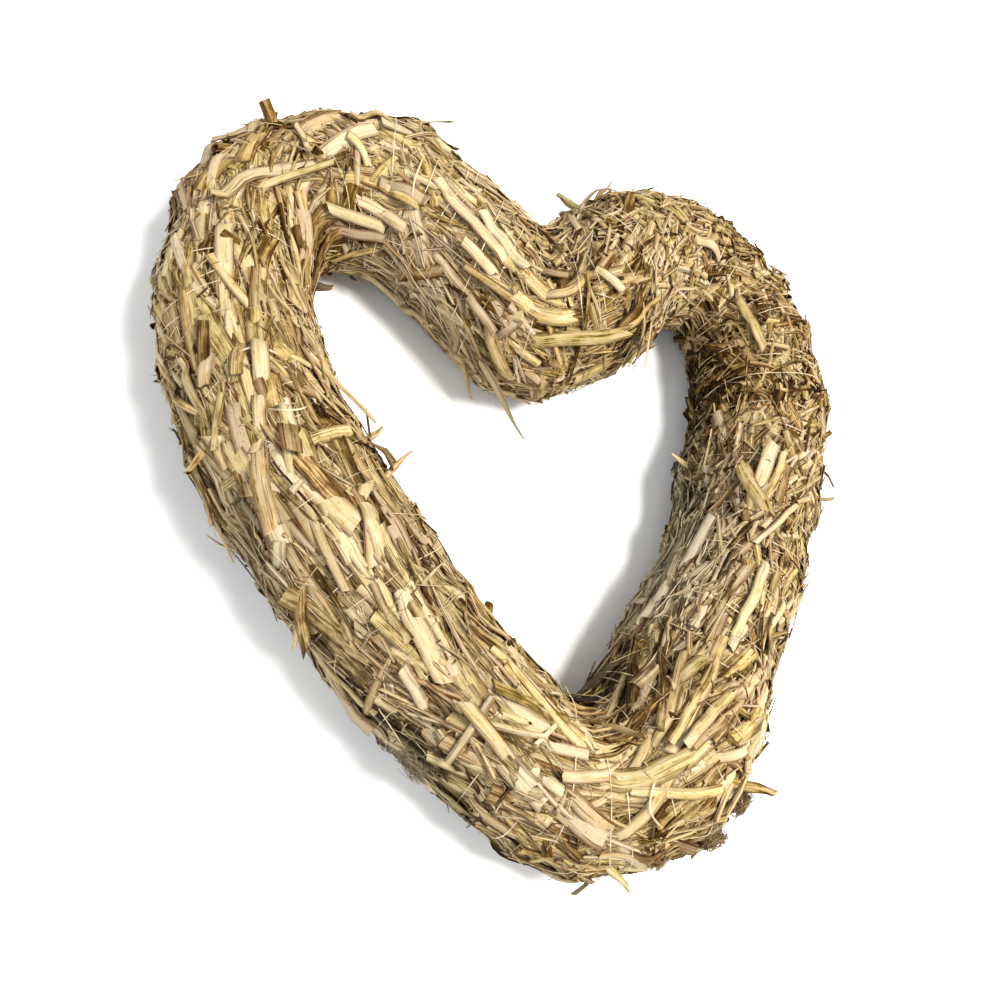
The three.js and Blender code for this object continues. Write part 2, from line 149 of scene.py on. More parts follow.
# Straws that catch the eye but lie flat: along, around, heading, length, width, height over the skin, tone.
SHOWN_STRAWS = np.array([
    (12, 85, -100, 38, 1.8, 2.4, 0.24),     # notch
    (38, 130, -165, 33, 2.6, 2.0, 0.50),
    (34, 140, -172, 30, 2.2, 2.0, 0.42),
    (674, 125, 15, 24, 6.0, 1.4, 0.50),
    (4, 125, -20, 16, 4.0, 1.3, 0.52),
    (672, 90, 5, 20, 2.5, 1.5, 0.85),
    (18, 90, -60, 12, 3.5, 1.5, 0.78),
    (670, 150, -35, 22, 4.5, 1.2, 0.45),
    (680, 155, -55, 13, 1.8, 1.6, 0.85),
    (682, 105, 20, 25, 3.5, 1.2, 0.64),
    (78, 105, -15, 22, 4.0, 1.2, 0.62),     # right lobe and arm
    (126, 130, 10, 28, 4.0, 1.2, 0.66),
    (204, 110, -5, 29, 5.5, 1.4, 0.70),
    (206, 100, -8, 26, 3.0, 1.3, 0.56),
    (224, 80, -25, 24, 2.2, 1.4, 0.68),
    (248, 90, -5, 35, 4.0, 1.3, 0.66),
    (256, 64, -5, 20, 3.2, 0.9, 0.62),
    (274, 90, -10, 14, 4.0, 1.3, 0.66),
    (286, 105, 5, 42, 4.0, 1.6, 0.62),
    (310, 120, 155, 16, 4.5, 1.6, 0.56),
    (310, 155, 40, 17, 3.5, 1.2, 0.35),
    (330, 106, -166, 33, 3.4, 2.0, 0.62),   # the fan inside the tip
    (327, 100, -178, 30, 3.2, 1.8, 0.42),
    (325, 95, 172, 30, 3.6, 2.0, 0.60),
    (322, 90, 165, 26, 3.2, 1.8, 0.50),
    (328, 110, -155, 30, 2.6, 1.6, 0.45),
    (324, 78, 160, 20, 3.6, 1.7, 0.68),
    (340, 90, 150, 28, 3.2, 1.6, 0.58),     # tip
    (348, 60, 145, 18, 4.5, 1.7, 0.86),
    (344, 55, -145, 24, 3.5, 1.3, 0.74),
    (352, 75, -145, 29, 3.0, 1.3, 0.72),
    (362, 80, -155, 26, 3.5, 1.3, 0.68),
    (360, 65, 165, 17, 7.0, 1.5, 0.75),
    (358, 75, 160, 16, 5.0, 1.8, 0.62),
    (360, 45, 165, 13, 3.0, 1.6, 0.15),
    (370, 70, 180, 11, 4.0, 1.7, 0.90),
    (370, 100, 70, 8, 2.0, 1.8, 0.80),      # left arm
    (376, 110, -125, 16, 1.0, 2.0, 0.90),
    (380, 65, 170, 20, 6.5, 1.4, 0.74),
    (388, 85, 95, 20, 2.5, 2.0, 0.75),
    (406, 80, 170, 22, 6.0, 1.4, 0.72),
    (410, 55, 165, 26, 3.6, 1.5, 0.64),
    (424, 85, 165, 26, 6.0, 1.3, 0.64),
    (454, 105, 155, 22, 6.0, 1.5, 0.62),
    (454, 42, 125, 10, 4.0, 1.8, 0.85),
    (462, 100, 170, 29, 4.5, 1.3, 0.60),
    (466, 80, 125, 8, 3.0, 1.8, 0.85),
    (474, 85, 170, 25, 5.5, 1.3, 0.58),
    (484, 90, 160, 16, 6.0, 1.5, 0.48),
    (498, 85, 155, 27, 4.3, 1.6, 0.56),
    (504, 15, -150, 27, 2.5, 1.6, 0.38),
    (508, 35, 180, 17, 3.5, 1.4, 0.65),
    (510, 60, 160, 15, 5.0, 1.6, 0.70),
    (508, 80, 160, 14, 4.0, 1.6, 0.45),
    (508, 92, 165, 32, 5.0, 1.4, 0.66),
    (540, 105, 180, 30, 4.0, 1.3, 0.68),
    (546, 75, 180, 40, 5.5, 1.5, 0.72),
    (552, 63, -25, 42, 4.5, 1.7, 0.70),     # left shoulder and lobe
    (570, 50, -175, 33, 4.5, 1.3, 0.70),
    (568, 110, 0, 16, 4.0, 0.8, 0.72),
    (604, 65, 5, 24, 4.0, 0.7, 0.54),
    (600, 90, -50, 14, 3.6, 1.2, 0.62),
    (612, 120, 0, 19, 5.0, 1.5, 0.74),
    (586, 140, -15, 20, 4.0, 1.5, 0.70),
    (578, 155, 0, 22, 3.5, 1.4, 0.68),
    (600, 135, -10, 19, 4.5, 1.5, 0.72),
    (618, 125, 0, 14, 3.0, 1.7, 0.12),
    (634, 100, -10, 35, 4.5, 1.3, 0.70),
    (646, 145, -5, 35, 3.5, 1.2, 0.60),
    (652, 100, -5, 24, 4.0, 1.3, 0.70),
    (652, 125, -5, 26, 4.0, 1.3, 0.64),
])

# Thin blades that stand off the bundle, in the same columns.
BLADES = np.array([
    (38, 118, -130, 29, 3.6, 1.6, 0.26),    # hanging into the opening beside the notch
    (34, 112, -140, 28, 3.2, 2.0, 0.36),
    (40, 122, -120, 28, 2.0, 2.2, 0.70),
    (42, 128, -110, 26, 1.6, 1.8, 0.60),
    (32, 125, -95, 26, 2.0, 2.0, 0.68),
    (46, 110, -125, 24, 2.5, 1.5, 0.45),
    (680, 150, -50, 16, 1.8, 1.6, 0.85),    # under the left lobe's slope
    (684, 165, 40, 12, 1.6, 1.6, 0.80),
    (60, 35, 165, 24, 3.0, 1.0, 0.35),      # behind the right lobe
    (66, 48, 172, 26, 3.5, 1.2, 0.42),
    (470, 20, -165, 20, 2.0, 1.2, 0.50),    # outside the left arm
    (500, 12, -160, 24, 2.0, 1.2, 0.45),
])

# Slack loops of thread: along and around at both ends, how far the middle goes sideways, and how high.
THREAD_LOOPS = [
    ((330, 100), (334, 55), 5, 3.0), ((626, 80), (632, 150), -3, 2.6), ((500, 60), (498, 105), 3, 2.4),
    ((488, 65), (486, 115), -3, 2.4),
]

# Balls of fuzz: along, around, size, tone, greyness and number of hairs.
FUZZ = [
    (430, 10, 2.4, 0.35, 1.0, 90),      # outside the left arm
    (390, 12, 4.0, 0.35, 0.9, 60),
    (312, 29, 3.4, 0.32, 0.5, 110),     # the corner of the tip
    (322, 31, 3.0, 0.32, 0.5, 90),
    (334, 32, 2.4, 0.36, 0.5, 70),
]
HAIR = 0.15                   # thickness of a hair of fuzz

# The large hollow straw end: along, around, heading and rise, then its length and radii.
HOLLOW_STUB = {
    "node": "hollow_straw_stub", "place": (585, 55, 100, 60), "length": 7, "outer": 2.0, "bore": 1.4,
}

# The loose straws on the far sides stand at even steps on the two sides by turns, each turned from the last
# by the golden part of a turn. A side has its name, its first place along and its middle place around.
FAR_STRAWS = {
    "count": 10, "outer": ("outer", 54, 10), "inner": ("inner", 400, 180), "step": 24, "sway": 25, "rise": 12,
    "length": 8,
}
GOLDEN_PART = 0.618
STANDING_OUT = 4.5            # how far a stiff straw's ends may leave the skin

# Sections of a straw: across from -1 to 1 of its half width, and up from -1 to 1 of its half thickness.
HOUSE = np.array([(-1, 0), (-0.5, 1), (0.5, 1), (1, 0), (0, -1)], float)
ROOF = np.array([(-1, 0), (0, 1), (1, 0), (0, -1)], float)
SPLINTER = np.array([(-1, -0.5), (0, 1), (1, -0.5)], float)
CAPS = {5: [(0, 1, 4), (1, 2, 4), (2, 3, 4)], 4: [(0, 1, 3), (1, 2, 3)], 3: [(0, 1, 2)]}

# Straws lie in wisps that share a heading, a height and a tone: how many wisps there are, what a distance
# along the run counts for beside one around the bundle, and how much higher or lower a wisp lies.
WISPS = {"count": 420, "long": 0.55, "unevenness": 0.45}


# Numbers

def unit(vectors):
    """Vectors divided by their own lengths."""
    return vectors / np.maximum(np.linalg.norm(vectors, axis=-1, keepdims=True), 1e-9)


def smoothstep(value, low, high):
    """0 below low, 1 above high, and 3 t squared less 2 t cubed between them."""
    part = np.clip((value - low) / (high - low), 0, 1)
    return part * part * (3 - 2 * part)


def apart(along, around, place_along, place_around, run):
    """How far two places lie apart on the skin: down the run, and round the bundle at its radius at the
    notch."""
    down_run = (along - place_along + run / 2) % run - run / 2
    round_it = np.radians((around - place_around + 180) % 360 - 180) * HEART[0, 2]
    return down_run, round_it


def bell(along, around, place_along, place_around, spread, run):
    """A round bell: e to the minus squared distance over two squared spreads, a third at about 1.5
    spreads."""
    down_run, round_it = apart(along, around, place_along, place_around, run)
    return np.exp(-(down_run ** 2 + round_it ** 2) / (2 * spread ** 2))


def closed_curve(points, steps):
    """The closed centripetal Catmull-Rom spline: in each span a cubic between two points, whose end slopes
    are those of the parabola through the neighbours, with the root of the distance as the parameter."""
    before, start, end, after = (np.roll(points, shift, 0)[:, None] for shift in (1, 0, -1, -2))
    gap = np.sqrt(np.linalg.norm(end - start, axis=2, keepdims=True))
    last, following = np.roll(gap, 1, 0), np.roll(gap, -1, 0)
    leave = ((start - before) / last - (end - before) / (last + gap) + (end - start) / gap) * gap
    arrive = ((end - start) / gap - (after - start) / (gap + following) + (after - end) / following) * gap
    u = (np.arange(steps) / steps)[None, :, None]
    curve = (2 * u ** 3 - 3 * u ** 2 + 1) * start + (u ** 3 - 2 * u ** 2 + u) * leave \
        + (3 * u ** 2 - 2 * u ** 3) * end + (u ** 3 - u ** 2) * arrive
    return curve.reshape(-1, 3)


def ripples(rng, count, waves_along, waves_around):
    """Settings of smooth noise on the skin: whole numbers of waves along and round, so that it closes on
    itself, a phase each, and heights that fall as the waves get shorter."""
    along = rng.integers(waves_along[0], waves_along[1] + 1, count) * rng.choice([-1, 1], count)
    around = rng.integers(waves_around[0], waves_around[1] + 1, count)
    height = 1 / np.sqrt(1 + np.abs(along) / waves_along[0])
    return along, around, rng.random(count) * TURN, height / np.sqrt((height ** 2).sum() / 2)


def rippled(noise, along, around, run):
    """The noise at places: the sum of its sine waves, about -2 to 2 and mostly within -1 to 1."""
    total = np.zeros(np.broadcast(along, around).shape)
    for waves, twist, phase, height in zip(*noise):
        total += height * np.sin(TURN * waves * along / run + twist * np.radians(around) + phase)
    return total


# The bundle's skin

class Skin:
    """The skin as tables of points, normals and stretch, one row for each millimetre of run."""

    def __init__(self, thread_turns):
        curve = closed_curve(HEART, 100)
        closed = np.vstack([curve, curve[:1]])
        travelled = np.concatenate([[0], np.cumsum(np.linalg.norm(np.diff(closed, axis=0), axis=1))])
        self.run = travelled[-1]
        self.rows = int(round(self.run))
        self.along = np.arange(self.rows) / self.rows * self.run
        self.around = np.arange(COLUMNS) / COLUMNS * 360
        self.thread_turns = thread_turns
        line = np.stack([np.interp(self.along, travelled, closed[:, axis]) for axis in range(3)], 1)
        self.centre = np.column_stack([line[:, :2], line[:, 2] * FLAT_SIDE - SETTLE])
        tangent = unit((np.roll(line, -1, 0) - np.roll(line, 1, 0))[:, :2])
        normal = np.column_stack([-tangent[:, 1], tangent[:, 0]])
        half = FAN // 2
        outward = unit(sum(np.roll(normal, shift, 0) for shift in range(-half, half + 1)))
        self.balls, self.radii = self.centre[::2], line[::2, 2]

        angle = np.radians(self.around)
        self.direction = np.stack([
            outward[:, None, 0] * np.cos(angle), outward[:, None, 1] * np.cos(angle),
            np.broadcast_to(np.sin(angle), (self.rows, COLUMNS))], 2)
        every_other = self.reach(self.centre[::2, None], self.direction[::2])
        between = (every_other + np.roll(every_other, -1, 0)) / 2
        reach = np.stack([every_other, between], 1).reshape(-1, COLUMNS)[:self.rows]
        along, around = np.meshgrid(self.along, self.around, indexing="ij")
        room = smoothstep(self.stretch(self.points(reach))[0], 0.35, 0.8)
        self.bite = room * self.pinch(along, around)
        self.grip = np.clip(self.bite / 1.4, 0, 1)
        self.point = self.points(reach + self.unevenness(along, around) - self.bite)
        self.stretch_along, self.stretch_around = self.stretch(self.point)
        down_run = np.roll(self.point, -2, 0) - np.roll(self.point, 2, 0)
        round_it = np.roll(self.point, -1, 1) - np.roll(self.point, 1, 1)
        self.normal = unit(np.cross(round_it, down_run))
        self.run_way = unit(down_run)

    def reach(self, centre, direction):
        """How far the balls along the centreline reach in each direction: a point steps outwards by its depth
        below the nearest ball's skin until that depth is nothing."""
        centre, direction = np.broadcast_arrays(centre, direction)
        start, way = centre.reshape(-1, 3), direction.reshape(-1, 3)
        distance = np.zeros(len(start))
        for _ in range(26):
            point = start + way * distance[:, None]
            squared = (point ** 2).sum(1)[:, None] + (self.balls ** 2).sum(1) - 2 * point @ self.balls.T
            depth = (self.radii - np.sqrt(np.maximum(squared, 0))).max(1)
            distance += np.maximum(depth, 0)
        return distance.reshape(centre.shape[:-1])

    def points(self, reach):
        """Points at a distance from the section centres. The underside is pressed flat."""
        point = self.centre[:, None] + self.direction * reach[..., None]
        point[..., 2] = np.maximum(point[..., 2], LOWEST)
        return point

    def stretch(self, point):
        """Millimetres of skin for each millimetre of run, and for each radian round."""
        steps = self.run / self.rows, TURN / COLUMNS
        return tuple(np.linalg.norm(np.roll(point, -1, axis) - np.roll(point, 1, axis), axis=2) / (2 * step)
                     for axis, step in enumerate(steps))

    def unevenness(self, along, around):
        """Swells as sine waves along and round the bundle, a bell for each tuft, and finer lumps."""
        angle = np.radians(around)
        total = sum(height * np.sin(TURN * waves * along / self.run + twist * angle + phase)
                    for height, waves, twist, phase in SWELLS)
        total = total + sum(height * bell(along, around, *place, spread, self.run)
                            for *place, height, spread in TUFTS)
        lumps = ripples(np.random.default_rng(5), 16, (24, 60), (2, 7))
        return total + 0.45 * rippled(lumps, along, around, self.run)

    def thread_along(self, turns):
        """Where the thread is along the run after so many turns: an even pitch, with three slow waves that
        crowd some turns and part others."""
        pitch = self.run / self.thread_turns
        wander = 2.3 * np.sin(TURN * 0.37 * turns + 1.0) + 1.7 * np.sin(TURN * 0.813 * turns + 2.6) \
            + 3.2 * np.sin(TURN * 0.113 * turns)
        return pitch * turns + wander

    def pinch(self, along, around):
        """How deep the thread bites: a narrow bell across each turn's line, less a slight bulge between
        them."""
        turn = np.arange(-2, self.thread_turns + 3)[:, None] + ((self.around + 90) % 360) / 360
        gap = along[:, 0][:, None, None] - self.thread_along(turn)
        nearest = np.abs((gap + self.run / 2) % self.run - self.run / 2).min(1)
        return 1.9 * np.exp(-(nearest / 2.6) ** 2) - 0.5

    def sample(self, table, along, around):
        """A table's value at places, straight between its four nearest entries."""
        row = (along / self.run * self.rows) % self.rows
        column = (around / 360 * COLUMNS) % COLUMNS
        low_row, low_column = np.floor(row).astype(int), np.floor(column).astype(int)
        part_row, part_column = row - low_row, column - low_column
        low_row, low_column = low_row % self.rows, low_column % COLUMNS
        high_row, high_column = (low_row + 1) % self.rows, (low_column + 1) % COLUMNS
        if table.ndim == 3:
            part_row, part_column = part_row[..., None], part_column[..., None]
        near, far = (table[row, low_column] * (1 - part_column) + table[row, high_column] * part_column
                     for row in (low_row, high_row))
        return near * (1 - part_row) + far * part_row


def lay_at(along, column, run):
    """One column of the LAY table at places along, straight between its rows and closed on itself."""
    rows = np.vstack([LAY, LAY[:1]])
    rows[-1, 0] = run
    return np.interp(along % run, rows[:, 0], rows[:, column])


def patches_at(along, around, column, run):
    """The sum of the patches at places, painted shade among them: column 0 is tone, 1 is greyness."""
    return sum(patch[3 + column] * bell(along, around, *patch[:3], run) for patch in PATCHES)


# Straws

def scatter(rng, skin, count, share_column=None, underside=0.4):
    """Places all over the skin. Random ones are kept with a chance that follows the skin's area there, the
    LAY table's share, and for the underside, which lies on the table, a smaller one."""
    tries = count * 8
    along, around = rng.random(tries) * skin.run, rng.random(tries) * 360
    area = skin.sample(skin.stretch_along, along, around) * skin.sample(skin.stretch_around, along, around)
    chance = np.clip(area / 45, 0, 1)
    if share_column is not None:
        chance = chance * lay_at(along, share_column, skin.run) / LAY[:, share_column].max()
    height = skin.sample(skin.point, along, around)[:, 2]
    chance = chance * (underside + (1 - underside) * smoothstep(height, 2, 12))
    kept = np.flatnonzero(rng.random(tries) < chance)[:count]
    return along[kept], around[kept]


def wisps_at(skin, along, around):
    """The wisp that each place belongs to, which is the nearest of many random centres, with distances
    along the run counted shorter. Each wisp has a heading, a height and a tone of its own, as normal random
    numbers."""
    rng = np.random.default_rng(3)
    count = WISPS["count"]
    centre_along, centre_around = rng.random(count) * skin.run, rng.random(count) * 360
    down_run, round_it = apart(along[:, None], around[:, None], centre_along, centre_around, skin.run)
    nearest = ((WISPS["long"] * down_run) ** 2 + round_it ** 2).argmin(1)
    return rng.standard_normal((3, count))[:, nearest]


def walk(skin, along, around, heading, curl, length, rings):
    """Carries straws over the skin: each step goes on in the straw's heading, which turns by curl over its
    length, and is divided by the skin's stretch there."""
    along, around = along.copy(), around.copy()
    step = length / (rings - 1)
    places = []
    for ring in range(rings):
        places.append((along.copy(), around.copy()))
        way = np.radians(heading + curl * (ring / (rings - 1) - 0.5))
        along += np.cos(way) * step / np.maximum(skin.sample(skin.stretch_along, along, around), 0.35)
        stretch = np.maximum(skin.sample(skin.stretch_around, along, around), 12)
        around -= np.degrees(np.sin(way) * step / stretch)
    return tuple(np.stack(column, 1) for column in zip(*places))


def lay_on_skin(skin, along, around, height, stiffness, length):
    """The straws' centrelines and upward directions. A limp straw follows the skin. A stiff one follows the
    straight line through its middle where that runs outside the skin, and less where it would run inside,
    and its distance from the skin levels off as a hyperbolic tangent. The thread presses the straws down,
    the limp ones most."""
    rings = along.shape[1]
    middle = rings // 2
    normal = skin.sample(skin.normal, along, around)
    limp = 1 - 0.5 * stiffness[:, None]
    pressed = 0.7 * limp * skin.sample(skin.bite, along, around)
    ground = skin.sample(skin.point, along, around) + normal * (height - pressed[..., None])
    way = unit(ground[:, middle + 1] - ground[:, middle - 1])[:, None]
    part = (np.arange(rings) - middle) / (rings - 1)
    line = ground[:, middle, None] + way * (length[:, None] * part)[..., None]
    away = line - ground
    outside = (away * normal).sum(2, keepdims=True)
    share = stiffness[:, None, None] * np.where(outside > 0, 1, 0.3)
    far = np.maximum(np.linalg.norm(away, axis=2, keepdims=True), 1e-6)
    path = ground + away * share * STANDING_OUT * np.tanh(far / STANDING_OUT) / far
    raised = ((path - skin.sample(skin.point, along, around)) * normal).sum(2)
    held = 0.9 * limp * skin.sample(skin.grip, along, around)
    path = path - normal * (held * np.maximum(raised - 0.1, 0))[..., None]
    inner = path[:, :-2] / 4 + path[:, 1:-1] / 2 + path[:, 2:] / 4
    path = np.concatenate([path[:, :1], inner, path[:, -1:]], 1)
    upward = unit(normal * (1 - share) + normal[:, middle, None] * share)
    return path, upward


def loft(path, upward, half, thick, camber, profile, roll=None, slant=None, ragged=None):
    """Rings of points along each straw. A point is the centreline plus side times across plus up times the
    section's height, which is arched by camber times one minus across squared. slant moves the end rings'
    points along the straw by their across, and ragged moves them by a number each."""
    forward = unit(np.gradient(path, axis=1))
    side = unit(np.cross(forward, upward))
    up = np.cross(side, forward)
    if roll is not None:
        turn = roll[..., None] if roll.ndim == 2 else roll[:, None, None]
        side, up = side * np.cos(turn) + up * np.sin(turn), up * np.cos(turn) - side * np.sin(turn)
    across = half[..., None] * profile[:, 0]
    height = thick[..., None] / 2 * profile[:, 1] + (camber * half)[..., None] * (1 - profile[:, 0] ** 2)
    points = path[:, :, None] + side[:, :, None] * across[..., None] + up[:, :, None] * height[..., None]
    if slant is not None:
        shift = np.zeros(points.shape[:3])
        shift[:, 0] = -across[:, 0] * slant[:, :1] - ragged[:, 0]
        shift[:, -1] = across[:, -1] * slant[:, 1:] + ragged[:, 1]
        points += forward[:, :, None] * shift[..., None]
    return points, across


def settle(points):
    """Presses what reaches below the table up to it: heights under CRUSHED are squeezed between it and the
    table by an exponential, so that nothing turns over."""
    height = points[..., 2]
    points[..., 2] = np.where(
        height > CRUSHED, height, CRUSHED * np.exp(np.minimum(height - CRUSHED, 0) / CRUSHED))
    return points


def along_edges(section):
    """A mask over a section's corners: 1 at the straw's two sides, and 0 over its middle half. It darkens the
    sides, partly as dirt and partly as painted shade where straws meet.
    """
    return np.clip(2 * np.abs(section[:, 0]) - 1, 0, 1)


def fan(corners):
    """Three-sided faces that fill a ring from its first corner."""
    return [(0, corner, corner + 1) for corner in range(1, corners - 1)]


def tube_faces(count, rings, corners, cap=None):
    """Corner numbers of all tubes' faces: four-sided ones between the rings and three-sided ones over the
    ends, which are the section's caps where none is given."""
    ring = np.arange(rings - 1)[:, None] * corners
    corner = np.arange(corners)
    following = (corner + 1) % corners
    sides = np.stack([
        ring + corner, ring + corners + corner, ring + corners + following, ring + following], -1)
    cap = np.array(cap or CAPS[corners])
    ends = np.concatenate([cap, cap[:, ::-1] + (rings - 1) * corners])
    first = np.arange(count) * rings * corners
    return (sides.reshape(-1, 4)[None] + first[:, None, None]).reshape(-1, 4), \
        (ends[None] + first[:, None, None]).reshape(-1, 3)


def mesh_object(name, points, quads, triangles, tint=None, chart=None, sharp=50):
    """A piece from arrays: points in millimetres, faces by corner numbers, a tint for each point (tone,
    greyness, dirt with painted shade, and hue or nothing) and a chart position for each point (across and
    along in centimetres)."""
    mesh = bpy.data.meshes.new(name)
    corners = np.concatenate([quads.ravel(), triangles.ravel()]).astype(np.int32)
    starts = np.concatenate([np.arange(len(quads)) * 4, len(quads) * 4 + np.arange(len(triangles)) * 3])
    mesh.vertices.add(len(points))
    mesh.vertices.foreach_set("co", (points * MM).astype(np.float32).ravel())
    mesh.loops.add(len(corners))
    mesh.loops.foreach_set("vertex_index", corners)
    mesh.polygons.add(len(starts))
    mesh.polygons.foreach_set("loop_start", starts.astype(np.int32))
    mesh.update(calc_edges=True)
    if tint is not None:
        colour = tint if tint.shape[1] == 4 else np.column_stack([tint, np.full(len(tint), 0.5)])
        layer = mesh.color_attributes.new("tint", "FLOAT_COLOR", "POINT")
        layer.data.foreach_set("color", colour.astype(np.float32).ravel())
    if chart is not None:
        layer = mesh.uv_layers.new(name="straw")
        layer.data.foreach_set("uv", chart[corners].astype(np.float32).ravel())
    mesh.shade_smooth()
    mesh.set_sharp_from_angle(angle=math.radians(sharp))
    mesh.validate()
    piece = bpy.data.objects.new(name, mesh)
    bpy.context.scene.collection.objects.link(piece)
    return piece


def straw_tint(rng, skin, along, around, height, parts, tone, tone_spread, grey, dirt_and_shade):
    """Tone, greyness, dirt and hue for each ring. A straw's tone is its kind's, plus chance, plus a slow
    change over the bundle, the region's and the patches', less where it lies deep, which is painted shade. It
    drifts over the straw's length. One straw in twenty is an old, dark one."""
    count = len(along)
    middle = along.shape[1] // 2
    place = along[:, middle], around[:, middle]
    slow = ripples(np.random.default_rng(11), 14, (6, 22), (0, 3))
    base = tone + tone_spread * rng.standard_normal(count) + 0.05 * rippled(slow, *place, skin.run)
    base -= np.where(rng.random(count) < 0.05, 0.25, 0)
    # Straws that lie deeper are darker by 0.07 of their height: painted shade.
    base += lay_at(place[0], 4, skin.run) + patches_at(*place, 0, skin.run) + 0.07 * height
    drift = rng.normal(0, 0.07, count)[:, None] * (parts - 0.5) * 2
    greyness = grey * np.abs(rng.standard_normal(count)) + lay_at(place[0], 5, skin.run)
    # The patches add greyness here and turn the hue greener below; on the inner walls this grey olive is
    # painted shade.
    greyness += patches_at(*place, 1, skin.run)
    dirty = dirt_and_shade * rng.random(count) ** 3
    hue = 0.5 + 0.17 * rng.standard_normal(count) + 0.12 * rippled(slow, place[0] * 1.7, place[1], skin.run)
    hue += 0.5 * patches_at(*place, 1, skin.run)
    rest = (value[:, None] + np.zeros(along.shape[1]) for value in (greyness, dirty, hue))
    return np.clip(np.stack([base[:, None] + drift, *rest], -1), 0, 1)


def swayed(rng, path, upward, parts, sway):
    """Straws with a slow and a quicker sine wave sideways, of random heights and phases."""
    count = len(path)
    side = unit(np.cross(unit(np.gradient(path, axis=1)), upward))
    waves = rng.normal(0, sway, (count, 2))[:, :, None] * np.sin(
        TURN * np.array([0.5, 1.0])[None, :, None] * parts[None] + rng.random((count, 2, 1)) * TURN)
    return path + side * waves.sum(1)[..., None]


def kneed(rng, path, upward, parts, length, share):
    """Straws of which a share is folded up at a knee: past it they rise by the way travelled times a
    slope."""
    count = len(path)
    past = np.maximum(parts - rng.uniform(0.35, 0.75, count)[:, None], 0) * length[:, None]
    slope = np.where(rng.random(count) < share, rng.uniform(0.15, 0.9, count), 0)
    slope = np.minimum(slope, 5 / np.maximum(past[:, -1], 1))
    return path + upward * (past * slope[:, None])[..., None]


def ends_raised(parts, start, end, length):
    """How high a straw's ends rise or sink: each end's height times the square of the way into its outer 0.4,
    less for straws shorter than 28."""
    rise = start[:, None] * np.maximum(1 - parts / 0.4, 0) ** 2
    rise = rise + end[:, None] * np.maximum((parts - 0.6) / 0.4, 0) ** 2
    return rise * np.minimum(length / 28, 1)[:, None]


def straw_layer(name, skin, seed, section, rings, thick, camber, stiffness, count=0, length=(1, 1),
                width=(1, 1), height=(0, 0), heading_share=1, unruly=0.1, curl=12, lift=(0, 1.5), roll=8,
                point=(0, 0.4), slant=0.8, ragged=0.3, share_column=None, underside=0.4, tone=0.5,
                tone_spread=0.18, grey=0.12, dirt_and_shade=0.5, sway=0, bent=0, crosswise=0, coarse_height=0,
                edge=0.75, on_thread=False, shown=None):
    """A layer of like straws over the whole bundle. Pairs of numbers are the ends of an even range. The
    straws of a wisp lie nearly parallel, but for the unruly share, and crosswise is the share that lies
    across the bundle, as the thread does. lift raises a straw's ends off the skin, or sinks them where it is
    below 0, bent is the share that is folded at a knee, and edge is how much the two sides are darkened,
    partly as dirt and partly as painted shade where the straws meet. coarse_height raises the layer where the
    LAY table has more long straws. on_thread puts all the straws where the thread runs, and shown is a table
    like SHOWN_STRAWS, which takes the place of most of the chance."""
    rng = np.random.default_rng(seed)
    if shown is not None:
        along, around = shown[:, 0], shown[:, 1]
    elif on_thread:
        turn = rng.random(count) * skin.thread_turns
        along, around = skin.thread_along(turn) + rng.normal(0, 0.6, count), turn * 360 - 90
    else:
        along, around = scatter(rng, skin, count, share_column, underside)
    count = len(along)

    def draw(ends):
        return rng.uniform(*ends, count)

    turned, raised, toned = wisps_at(skin, along, around)
    spread = lay_at(along, 1, skin.run) * heading_share
    heading = spread * (0.9 * turned + 0.35 * rng.standard_normal(count))
    heading += np.where(rng.random(count) < unruly, 35, 0) * rng.standard_normal(count)
    heading += np.where(rng.random(count) < crosswise, 90, 0) + 180 * rng.integers(0, 2, count)
    coarse = lay_at(along, 2, skin.run)
    straw_length = draw(length) * (0.72 + 0.3 * coarse)
    half = draw(width) / 2 * (0.75 + 0.25 * coarse)
    high = draw(height) + coarse_height * (coarse - 1) + WISPS["unevenness"] * np.clip(raised, -1.5, 1.5)
    if shown is not None:
        heading, straw_length, whole, high, tone = shown[:, 2:].T
        half = whole / 2
    places = walk(skin, along, around, heading, rng.normal(0, curl, count), straw_length, rings)
    path, upward = lay_on_skin(skin, *places, high[:, None, None], draw(stiffness), straw_length)
    parts = np.linspace(0, 1, rings)[None]
    path = path + upward * ends_raised(parts, draw(lift), draw(lift), straw_length)[..., None]
    if sway:
        path = swayed(rng, path, upward, parts, sway)
    if bent:
        path = kneed(rng, path, upward, parts, straw_length, bent)
    taper = 1 - draw(point)[:, None] * np.maximum(np.abs(parts - 0.5) * 2 - 0.45, 0) / 0.55
    roll_start, roll_more = (np.radians(rng.normal(0, roll, count))[:, None] for _ in range(2))
    thicks = np.repeat(draw(thick)[:, None], rings, 1)
    flatness = np.clip(1.15 - 0.35 * half, 0.15, 1)
    arch = np.repeat((camber * flatness * rng.uniform(0.4, 1.3, count))[:, None], rings, 1)
    torn = rng.random((count, 2, len(section))) * ragged * half[:, None, None]
    points, across = loft(path, upward, half[:, None] * taper, thicks, arch, section,
                          roll_start + roll_more * parts, rng.normal(0, slant, (count, 2)), torn)
    tint = straw_tint(rng, skin, *places, high, parts, tone + 0.05 * toned, tone_spread, grey, dirt_and_shade)
    tint = np.repeat(tint[:, :, None], len(section), 2)
    # Darker sides through the dirt channel: partly dirt, partly painted shade where the straws meet.
    tint[..., 2] += edge * along_edges(section)
    shift = rng.random((count, 1, 1, 2)) * 40
    travelled = (straw_length[:, None] * parts)[..., None]
    chart = np.stack(np.broadcast_arrays(across, travelled), -1) / 10 + shift
    return mesh_object(
        name, settle(points).reshape(-1, 3), *tube_faces(count, rings, len(section)),
        np.clip(tint, 0, 1).reshape(-1, 4), chart.reshape(-1, 2))


